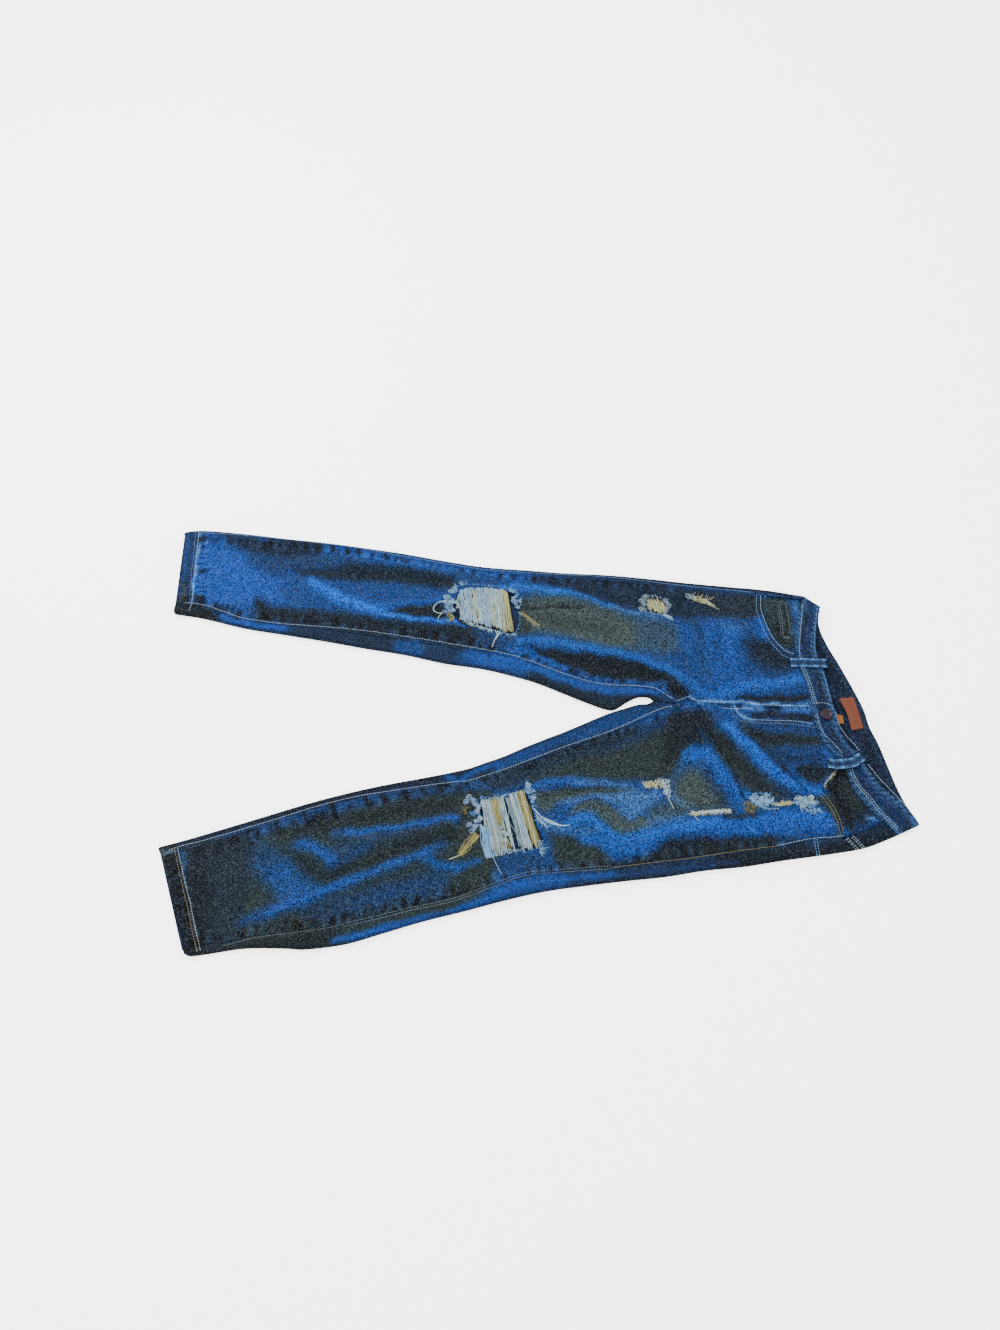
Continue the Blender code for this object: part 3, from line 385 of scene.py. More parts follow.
# Creases of the underside, which rises off the surface in them
UNDERSIDE_CREASES = [
    ("-80,120 -58,160 -66,205", 0.7, 6), ("-50,125 -30,165 -34,208", 0.7, 5),
    ("-70,-120 -40,-150 -46,-195", 0.7, 6), ("-34,-108 -8,-140 -12,-190", 0.7, 5),
    ("150,60 180,110 172,170", 0.6, 7), ("150,-20 176,-70 168,-140", 0.6, 7), ("60,70 70,130 64,200", 0.5, 6),
    ("50,-30 64,-90 54,-170", 0.5, 6), ("-260,130 -240,180 -250,240", 0.5, 6),
    ("-260,-130 -244,-180 -252,-250", 0.5, 6),
]

# Puckers beside a seam, where it is shorter than the cloth sewn to it:
# (line, side that they lie on, reach, spacing, depth), millimetres
PUCKERED_SEAMS = {
    "right": [
        ("-480,181 -420,163 -367,152 -287,142 -206,130 -109,115 -52,105", 1, 16, 15, 0.9),
        ("-52,104 6,88 66,67 105,58 152,54 190,44", 1, 13, 15, 0.9),
        ("-470,290 -410,287 -322,278 -234,267 -148,251 -61,234 24,227 200,211", -1, 16, 12, 0.8),
        ("250,202 334,193 380,188", -1, 10, 9, 0.6),
        ("-478,300 -476,240 -472,186", 1, 19, 9, 0.5),
        ("370,186 366,150 362,100 368,76 372,30", 1, 7, 8, 0.4),
    ],
    "left": [
        ("-450,-176 -362,-148 -291,-126 -219,-107 -105,-84", -1, 17, 24, 1.0),
        ("-105,-84 -60,-74 29,-44 132,-3 180,18", -1, 12, 14, 0.8),
        ("-400,-292 -334,-280 -261,-272 -187,-256 -104,-232 -31,-213 26,-203 121,-193 210,-182 312,-171", 1,
            16, 15, 0.9),
        ("-447,-168 -430,-215 -414,-258 -399,-298", -1, 20, 10, 0.5),
        ("396,-152 410,-150 436,-134", 1, 7, 8, 0.4),
    ],
}


class Wash:
    """One charted place of a tone: a soft stroke along a line, or a patch with a soft edge."""

    def __init__(self, tone: Tone, strength: float, width: float, line: Points, filled: bool = False) -> None:
        """Chart one place of a tone.

        Args:
            tone: its tone.
            strength: share of the tone at its middle.
            width: half width, or softness of the edge, millimetres.
            line: points of the stroke or of the patch's outline, millimetres.
            filled: whether it is a patch.
        """
        self.tone = srgb(tone.value)
        self.strength = strength
        self.width = width * MM
        self.filled = filled
        points = read_points(line)
        self.line = PlanLine(points + points[:1] if filled else points)
        self.low = self.line.points.min(axis=0) - 2 * self.width
        self.high = self.line.points.max(axis=0) + 2 * self.width

    def lay(self, plan: Array, colour: Array) -> None:
        """Blend the tone into the colours of the plan points, in place.

        Args:
            plan: plan points, metres.
            colour: sRGB colours of the points.
        """
        near = np.all((plan > self.low) & (plan < self.high), axis=-1)
        if not near.any():
            return
        spots = plan[near]
        distance = self.line.nearest(spots)[0]
        if self.filled:
            distance = np.where(inside(spots, self.line.points), -distance, distance)
            weight = 1.0 - smooth_step(distance, -self.width, self.width)
        else:
            weight = np.exp(-(distance / self.width) ** 2)
        weight = (weight * self.strength)[..., None]
        colour[near] = colour[near] * (1.0 - weight) + self.tone * weight


def smooth_step(value: Array | float, low: float, high: float) -> Array:
    """Rise from 0 at low to 1 at high, level at both ends."""
    t = np.clip((value - low) / (high - low), 0.0, 1.0)
    return t * t * (3.0 - 2.0 * t)


def srgb(code: str) -> Array:
    """An sRGB hex code as three numbers from 0 to 1."""
    return np.array([int(code[place:place + 2], 16) / 255 for place in (1, 3, 5)])


def linear(colour: Array | str) -> Array:
    """sRGB values, or a hex code, as linear ones."""
    colour = srgb(colour) if isinstance(colour, str) else np.asarray(colour)
    return np.where(colour <= 0.04045, colour / 12.92, ((colour + 0.055) / 1.055) ** 2.4)


def inside(plan: Array, outline: Array) -> Array:
    """Whether plan points lie inside a closed outline, by counting the edges crossed.

    Args:
        plan: plan points, metres.
        outline: its corners, metres.

    Returns:
        True for each point inside.
    """
    result = np.zeros(len(plan), bool)
    for (x0, y0), (x1, y1) in zip(outline, np.roll(outline, -1, axis=0)):
        if y0 == y1:
            continue
        crosses = (y0 > plan[:, 1]) != (y1 > plan[:, 1])
        result ^= crosses & (plan[:, 0] < (x1 - x0) * (plan[:, 1] - y0) / (y1 - y0) + x0)
    return result


def wander(plan: Array, reach: float = 1.1 * MM) -> Array:
    """Plan points shifted a little by a smooth wave, so that no charted edge is drawn too clean.

    Args:
        plan: plan points, metres.
        reach: size of the shift, metres.

    Returns:
        The shifted points.
    """
    x, y = plan[..., 0], plan[..., 1]
    shift = np.stack([np.sin(170 * y + 60 * x) + 0.6 * np.sin(410 * x - 230 * y + 1.0),
                      np.sin(150 * x - 90 * y + 2.0) + 0.6 * np.sin(370 * y + 290 * x)], axis=-1)
    return plan + shift * reach


class Cloth:
    """The upper layer of one half: its height over the surface and its wash, at any plan points."""

    def __init__(self, half: Half) -> None:
        """Read the folds and seams of one half.

        Args:
            half: lines of one half.
        """
        self.half = half
        creases = FOLDS + FINE_CREASES
        self.folds = [(PlanLine(line), height * MM, width * MM) for line, height, width in creases]
        self.seams = [(PlanLine(points), side, reach * MM, spacing * MM, depth * MM)
                      for points, side, reach, spacing, depth in PUCKERED_SEAMS[half.name]]

    def puckers(self, plan: Array) -> tuple[Array, Array]:
        """Depth of the seam puckers at plan points, from -1 for a crest to 1, and in metres.

        Args:
            plan: plan points, metres.

        Returns:
            Depth as a share and in metres.
        """
        share, drop = np.zeros(plan.shape[:-1]), np.zeros(plan.shape[:-1])
        for line, side, reach, spacing, depth in self.seams:
            distance, run, beside = line.nearest(plan)
            phase = 2 * math.pi * run / spacing
            wave = np.sin(0.8 * phase + 2.0 * np.sin(phase / 5.9 + 1.0) + 0.7 * np.sin(phase / 2.3))
            wave = wave * (0.75 + 0.25 * np.sin(phase / 4.1 + 2.0))
            beside = np.where(beside == side, 1.0, 0.3)
            long = reach * (1.0 + 0.25 * np.sin(phase / 3.3))
            close = np.exp(-((distance - 0.35 * long) / (0.5 * long)) ** 2)
            close = close * smooth_step(distance, 0.0, 0.25 * reach)
            share = share + wave * close * beside
            drop += depth * wave * close * beside
        return share, drop

    def height(self, plan: Array) -> Array:
        """Height of the outer face over plan points.

        Args:
            plan: plan points, metres.

        Returns:
            Heights in metres.
        """
        plan = np.asarray(plan, float)
        outer = self.half.edge.nearest(plan)[0]
        inner = self.half.inner_fold.nearest(plan)[0]
        edge = np.minimum(outer, inner)
        lift = seat_lift(plan[..., 0])
        rise = np.sqrt(np.clip(1.0 - (1.0 - edge / ROLL_RADIUS) ** 2, 0.0, 1.0))
        rolled = ROLL_RADIUS + lift / 2 + (ROLL_RADIUS - lift / 2) * rise
        reach = ((1.0 - np.exp(-np.maximum(outer - ROLL_RADIUS, 0.0) / SAG_REACH))
                 * (1.0 - np.exp(-np.maximum(inner - ROLL_RADIUS, 0.0) / SAG_REACH)))
        folds = np.zeros(plan.shape[:-1])
        for line, height, width in self.folds:
            low, high = line.points.min(axis=0) - 3 * width, line.points.max(axis=0) + 3 * width
            near = np.all((plan > low) & (plan < high), axis=-1)
            if near.any():
                folds[near] += height * np.exp(-(line.nearest(plan[near])[0] / width) ** 2)
        folds -= self.puckers(plan)[1]
        folds = folds * smooth_step(edge, ROLL_RADIUS, FOLD_MARGIN)
        height = 2 * ROLL_RADIUS + slack(plan[..., 0]) * reach + folds
        least = lift + LEAST_RISE
        height = (height + least + np.hypot(height - least, LEAST_BLEND)) / 2
        return np.where(edge < ROLL_RADIUS, rolled, height)

    def lifted(self, plan: Array) -> Array:
        """Points of the upper layer over plan points."""
        return np.concatenate([plan, self.height(plan)[..., None]], axis=-1)


def seat_lift(x: Array | float) -> Array:
    """Height of the underside: the legs lie on the surface, the seat on its pockets and loops."""
    return SEAT_LIFT * smooth_step(x, *SEAT_SPAN)


def slack(x: Array) -> Array:
    """Rise of the upper layer between the folds: it lies on the back, and gapes at hems and waist.

    Args:
        x: places along the leg, metres.

    Returns:
        Rises in metres.
    """
    hem = 1.0 - smooth_step(x, *HEM_SPAN)
    waist = smooth_step(x, *WAIST_SPAN)
    return -LEG_SAG + (HEM_RISE + LEG_SAG) * hem + (WAIST_RISE + LEG_SAG) * waist


def underside_rise(plan: Array) -> Array:
    """Height of the creases pressed into the underside.

    Args:
        plan: plan points, metres.

    Returns:
        Heights in metres.
    """
    rise = np.zeros(plan.shape[:-1])
    for points, height, width in UNDERSIDE_CREASES:
        rise += height * MM * np.exp(-(PlanLine(points).nearest(plan)[0] / (width * MM)) ** 2)
    return rise


def inner_line(half: Half, row: Array) -> Array:
    """Inner seam of the front at rows: the inseam up to the crotch, then the centre front.

    Args:
        half: lines of one half.
        row: stations along the leg, counted from the hem.

    Returns:
        Plan points.
    """
    below = half.inseam.at(np.minimum(row, CROTCH_ROW) / CROTCH_ROW)
    above = half.centre_front.at(np.maximum(row - CROTCH_ROW, 0.0) / (WAIST_ROW - CROTCH_ROW))
    return np.where((row <= CROTCH_ROW)[..., None], below, above)


def bow(line: PlanLine, across: Array, row: Array) -> Array:
    """Shift that bends the last rows into a waist line; rows by columns."""
    straight = line.at(0.0) + (line.at(1.0) - line.at(0.0)) * across[..., None]
    return (line.at(across) - straight) * smooth_step(row, CROTCH_ROW, WAIST_ROW)[..., None]


def front_plan(half: Half, row: Array, across: Array) -> Array:
    """Plan points of the front, rows by columns; across is 0 at the outseam and 1 at the inner seam.

    Args:
        half: lines of one half.
        row: stations along the leg, counted from the hem.
        across: places across the front.

    Returns:
        Plan points, rows by columns by two.
    """
    row, across = np.asarray(row, float), np.asarray(across, float)
    outer = half.outseam.at(row / WAIST_ROW)
    inner = inner_line(half, row)
    margin = SEAM_GAP / 2 / np.linalg.norm(inner - outer, axis=-1)
    across = margin + (1.0 - 2.0 * margin) * across
    return outer + (inner - outer) * across[..., None] + bow(half.front_waist, across, row)


def back_grid(half: Half, cloth: Cloth, rows: Array, outer_columns: int, under_columns: int) -> Array:
    """Points of a back panel or yoke: outseam on top, round the side fold, underside, inner seam.

    Args:
        half: the leg's lines.
        cloth: height of its upper layer.
        rows: stations along the leg, counted from the hem.
        outer_columns: steps from a seam on top round to the underside.
        under_columns: steps across the underside.

    Returns:
        Points, rows by columns by three.
    """
    grid = []
    for row in rows:
        station = np.array([float(row)])
        seam_out = front_plan(half, station, np.array([0.0]))[0]
        seam_in = front_plan(half, station, np.array([1.0]))[0]
        across = (seam_in - seam_out) / np.linalg.norm(seam_in - seam_out)
        share = row / WAIST_ROW
        outer = rolled_path(seam_out - across * SEAM_GAP, half.outer_fold.at(share),
                            square_to(half.outer_fold, share, half.side), outer_columns)
        if row <= CROTCH_ROW:
            inner_share = row / CROTCH_ROW
            fold = half.inner_fold.at(inner_share)
            square = square_to(half.inner_fold, inner_share, -half.side)
            towards = (seam_in - fold) / np.linalg.norm(seam_in - fold)
            turn = float(smooth_step(row, CROTCH_ROW - 5, CROTCH_ROW))
            inward = square * (1.0 - turn) + towards * turn
            backset = float(smooth_step(row, CROTCH_ROW - 2, CROTCH_ROW))
            back = np.array([CROTCH_BACKSET, half.side * CROTCH_GAP])
            apart = across * SEAM_GAP * (1.0 - backset) + back * backset
            inner = rolled_path(seam_in + apart, fold, inward / np.linalg.norm(inward), outer_columns)[::-1]
        elif row < SEAT_ROW:
            end = math.pi * float(smooth_step(SEAT_ROW - row, 0.0, SEAT_ROW - CROTCH_ROW))
            steps = np.linspace(0.0, 1.0, outer_columns + 1)
            inner = roll_points(half.crotch_fold, np.array([1.0, 0.0]), end * steps)
            inner[:, 1] += CROTCH_SPREAD * half.side * (1.0 - steps)
        else:
            inner = None
        centre = half.centre_back.at(max(row - SEAT_ROW, 0.0) / (WAIST_ROW - SEAT_ROW))
        centre = centre + np.array([0.0, half.side * SEAM_GAP])
        start = outer[-1][:2]
        steps = np.linspace(0.0, 1.0, under_columns + 1)[1:-1]
        if inner is not None:
            plan = start + (inner[0][:2] - start) * steps[:, None]
        else:
            parts = np.linspace(0.0, 1.0, under_columns + outer_columns + 1)[1:]
            bent = bow(half.back_waist, parts, np.full(len(parts), row))
            plan = start + (centre - start) * parts[:, None] + bent
            inner = np.column_stack([plan[under_columns - 1:], seat_lift(plan[under_columns - 1:, 0])])
            plan = plan[:under_columns - 1]
        middle = np.column_stack([plan, seat_lift(plan[:, 0])])
        grid.append(np.vstack([outer, middle, inner]))
    grid = np.array(grid)
    top = np.isnan(grid[..., 2])
    grid[top, 2] = cloth.height(grid[top][:, :2])
    under = grid[..., 2] <= seat_lift(grid[..., 0]) + 1e-6
    grid[under, 2] += underside_rise(grid[under][:, :2]) * smooth_step(
        np.minimum(half.edge.nearest(grid[under][:, :2])[0], half.inner_fold.nearest(grid[under][:, :2])[0]),
        ROLL_RADIUS, FOLD_MARGIN)
    return grid


def square_to(line: PlanLine, share: float, sign: float) -> Array:
    """Unit direction square to a folded edge, towards the cloth."""
    along = line.tangent(share)
    return sign * np.array([along[1], -along[0]])


def roll_points(edge: Array, inward: Array, angles: Array) -> Array:
    """Points of a rolled edge: angle 0 on the underside, pi on top.

    Args:
        edge: plan point of the fold.
        inward: unit direction towards the cloth.
        angles: angles round the roll.

    Returns:
        Points in space.
    """
    plan = edge + inward * ROLL_RADIUS * (1.0 - np.sin(angles))[:, None]
    lift = seat_lift(edge[0])
    height = lift + (2 * ROLL_RADIUS - lift) * (1.0 - np.cos(angles)) / 2
    return np.column_stack([plan, height])


def rolled_path(seam: Array, edge: Array, inward: Array, columns: int) -> Array:
    """Even steps from a seam on top to the folded edge and round it; heights on top are left open.

    Args:
        seam: plan point of the seam.
        edge: plan point of the fold.
        inward: unit direction from the fold towards the cloth.
        columns: how many steps.

    Returns:
        Points in space, heights on top as nan.
    """
    offset = float(np.dot(seam - edge, inward))
    bend = math.pi
    if offset < ROLL_RADIUS:
        bend = math.pi - math.asin(min(max(1.0 - offset / ROLL_RADIUS, 0.0), 1.0))
    tangent = edge + inward * ROLL_RADIUS * (1.0 - math.sin(bend))
    flat = float(np.linalg.norm(tangent - seam))
    total = flat + ROLL_RADIUS * bend
    run = np.linspace(0.0, total, columns + 1)
    on_top = run <= flat
    points = np.empty((columns + 1, 3))
    share = (run / max(flat, 1e-9))[:, None]
    points[:, :2] = seam + (tangent - seam) * np.minimum(share, 1.0)
    points[:, 2] = np.nan
    rolled = roll_points(edge, inward, bend - (run - flat) / ROLL_RADIUS)
    points[~on_top] = rolled[~on_top]
    return points


# The front waistband covers this much of the panels' top edges
BAND_OVERLAP = -2.2 * MM


def band_points(cloths: tuple[Cloth, Cloth], share: float, steps: int) -> Array:
    """One row of the waistband, from the centre front round the back to the centre front.

    Args:
        cloths: the upper layers, right and left.
        share: place across the band, 0 at its lower seam and 1 at its top edge.
        steps: columns along one front part.

    Returns:
        Points of the band's outer face.
    """
    right, left = cloths

    def mix(low: np.ndarray, high: np.ndarray, shift: float = BAND_OVERLAP) -> np.ndarray:
        """Plan points at the share of the way from the lower line to the upper one."""
        low, high = np.asarray(low, float), np.asarray(high, float)
        return low * (1.0 - share) + high * share + np.array([shift * (1.0 - share), 0.0])

    part = np.linspace(0.0, 1.0, steps + 1)
    across = np.linspace(0.0, 2.0, 2 * steps + 1)
    turn = np.linspace(0.92, 0.08, 8) * math.pi
    plan = mix(right.half.front_waist.at(1.0 - part), PlanLine(BAND_TOP_RIGHT).at(part))
    plan[0, 1] += SEAM_GAP / 2
    rows = [np.column_stack([plan, np.full(len(plan), np.nan)])]
    rows.append(roll_points(mix(*np.array(BAND_RIGHT_EDGE) * MM), np.array(BAND_RIGHT_INWARD), turn))
    low = np.where((across <= 1.0)[:, None], right.half.back_waist.at(np.minimum(across, 1.0)),
                   left.half.back_waist.at(np.minimum(2.0 - across, 1.0)))
    plan = mix(low, PlanLine(BAND_TOP_BACK).at(across / 2), 0.2 * MM)
    rows.append(np.column_stack([plan, np.full(len(plan), SEAT_LIFT)]))
    rows.append(roll_points(mix(*np.array(BAND_LEFT_EDGE) * MM), np.array(BAND_LEFT_INWARD), turn[::-1]))
    plan = np.vstack([mix(*np.array(BAND_LEFT_TURN) * MM)[None, :],
                      mix(left.half.front_waist.at(part), PlanLine(BAND_TOP_LEFT).at(part))])
    plan[-1, 1] -= SEAM_GAP / 2
    rows.append(np.column_stack([plan, np.full(len(plan), np.nan)]))
    for cloth, block in ((right, rows[0]), (left, rows[-1])):
        block[:, 2] = cloth.height(block[:, :2]) + WAISTBAND_RAISE
    return np.vstack(rows)


def strip_grid(cloth: Cloth, low: Points, high: Points, rows: int, columns: int,
               drop: Callable[[Array], Array]) -> Array:
    """Points between two plan lines, at a depth under the upper layer's face that varies across.

    Args:
        cloth: the upper layer of one half.
        low: its lower line.
        high: its upper line.
        rows: steps between the lines.
        columns: steps along them.
        drop: depth under the face at shares of the way up.

    Returns:
        Points, rows by columns by three.
    """
    share = np.linspace(0.0, 1.0, rows + 1)[:, None, None]
    across = np.linspace(0.0, 1.0, columns + 1)
    plan = PlanLine(low).at(across) * (1.0 - share) + PlanLine(high).at(across) * share
    grid = cloth.lifted(plan)
    grid[..., 2] -= drop(share[..., 0])
    return grid


class Fabric:
    """Builds sheets of cloth and joined threads as meshes."""

    # Sides of a thread's tube
    SIDES = 4

    @staticmethod
    def sheet(name: str, grid: Array, wall: float, finish: Finish, colours: Array, outward: float = 1,
              keep: Array | None = None, snap: Callable[[Array, Array], Array] | None = None,
              thin: Array | None = None) -> Piece:
        """A sheet through rows of points, its wall grown inwards.

        Args:
            name: name of the piece.
            grid: points, rows by columns by three, of the outer face.
            wall: thickness in metres.
            finish: its material.
            colours: linear colours of the points, rows by columns by three.
            outward: +1 or -1, the winding that points the outer face away from the wall.
            keep: faces kept, rows - 1 by columns - 1, or None for all.
            snap: function that moves the points of cut edges, given the points and which are on one.
            thin: share of the wall at each point, or None for all of it.

        Returns:
            The piece.
        """
        rows, columns = grid.shape[:2]
        index = np.arange(rows * columns).reshape(rows, columns)
        quads = np.stack([index[:-1, :-1], index[1:, :-1], index[1:, 1:], index[:-1, 1:]], axis=-1)
        quads = quads if outward > 0 else quads[..., ::-1]
        chosen = quads[keep] if keep is not None else quads.reshape(-1, 4)
        points = grid.reshape(-1, 3).copy()
        if snap is not None:
            count = np.zeros(len(points), int)
            np.add.at(count, chosen.ravel(), 1)
            whole = np.zeros(len(points), int)
            np.add.at(whole, quads.reshape(-1, 4).ravel(), 1)
            points = snap(points, (count > 0) & (count < whole))
        used, packed = np.unique(chosen, return_inverse=True)
        mesh = bpy.data.meshes.new(name)
        mesh.from_pydata(points[used].tolist(), [], packed.reshape(-1, 4).tolist())
        paint(mesh, colours.reshape(-1, 3)[used])
        piece = place(name, mesh, finish)
        solid = piece.modifiers.new("Wall", "SOLIDIFY")
        solid.thickness = wall
        solid.offset = -1.0
        if thin is not None:
            group = piece.vertex_groups.new(name="wall")
            for vertex, weight in enumerate(thin.reshape(-1)[used]):
                group.add([vertex], float(weight), "REPLACE")
            solid.vertex_group = "wall"
        mesh.shade_smooth()
        return piece

    @staticmethod
    def threads(name: str, strands: list[Strand], finish: Finish) -> Piece:
        """Many threads joined in one mesh, each a tube along its own path.

        Args:
            name: name of the piece.
            strands: (points, radii, linear colour) for each thread.
            finish: its material.

        Returns:
            The piece.
        """
        points, faces, colours, count, sides = [], [], [], 0, Fabric.SIDES
        angles = np.linspace(0.0, 2 * math.pi, sides, endpoint=False)
        for path, radii, colour in strands:
            ahead = np.gradient(path, axis=0)
            ahead /= np.maximum(np.linalg.norm(ahead, axis=1, keepdims=True), 1e-12)
            beside = np.cross(ahead, (0.0, 0.0, 1.0))
            beside /= np.maximum(np.linalg.norm(beside, axis=1, keepdims=True), 1e-12)
            above = np.cross(beside, ahead)
            radii = np.broadcast_to(radii, (len(path),))[:, None, None]
            ring = (beside[:, None, :] * np.cos(angles)[None, :, None]
                    + above[:, None, :] * np.sin(angles)[None, :, None]) * radii
            points.append((path[:, None, :] + ring).reshape(-1, 3))
            index = count + np.arange(len(path) * sides).reshape(len(path), sides)
            turned = np.roll(index, -1, axis=1)
            quads = np.stack([index[:-1], turned[:-1], turned[1:], index[1:]], axis=-1)
            faces += quads.reshape(-1, 4).tolist()
            faces += [index[0][::-1].tolist(), index[-1].tolist()]
            colours.append(np.tile(colour, (len(path) * sides, 1)))
            count += len(path) * sides
        mesh = bpy.data.meshes.new(name)
        mesh.from_pydata(np.concatenate(points).tolist(), [], faces)
        paint(mesh, np.concatenate(colours))
        mesh.shade_smooth()
        return place(name, mesh, finish)


def paint(mesh: bpy.types.Mesh, colours: Array) -> None:
    """Give a mesh's points their linear colours as the attribute that the cloth materials read."""
    layer = mesh.attributes.new("wash", "FLOAT_COLOR", "POINT")
    full = np.column_stack([colours, np.ones(len(colours))])
    layer.data.foreach_set("color", full.astype(np.float32).ravel())


def place(name: str, mesh: bpy.types.Mesh, finish: Finish) -> Piece:
    """Put a mesh in the scene as a named piece with its material.

    Args:
        name: name of the piece.
        mesh: the mesh.
        finish: its material.

    Returns:
        The piece.
    """
    piece = bpy.data.objects.new(name, mesh)
    mesh.materials.append(finish)
    bpy.context.scene.collection.objects.link(piece)
    return piece
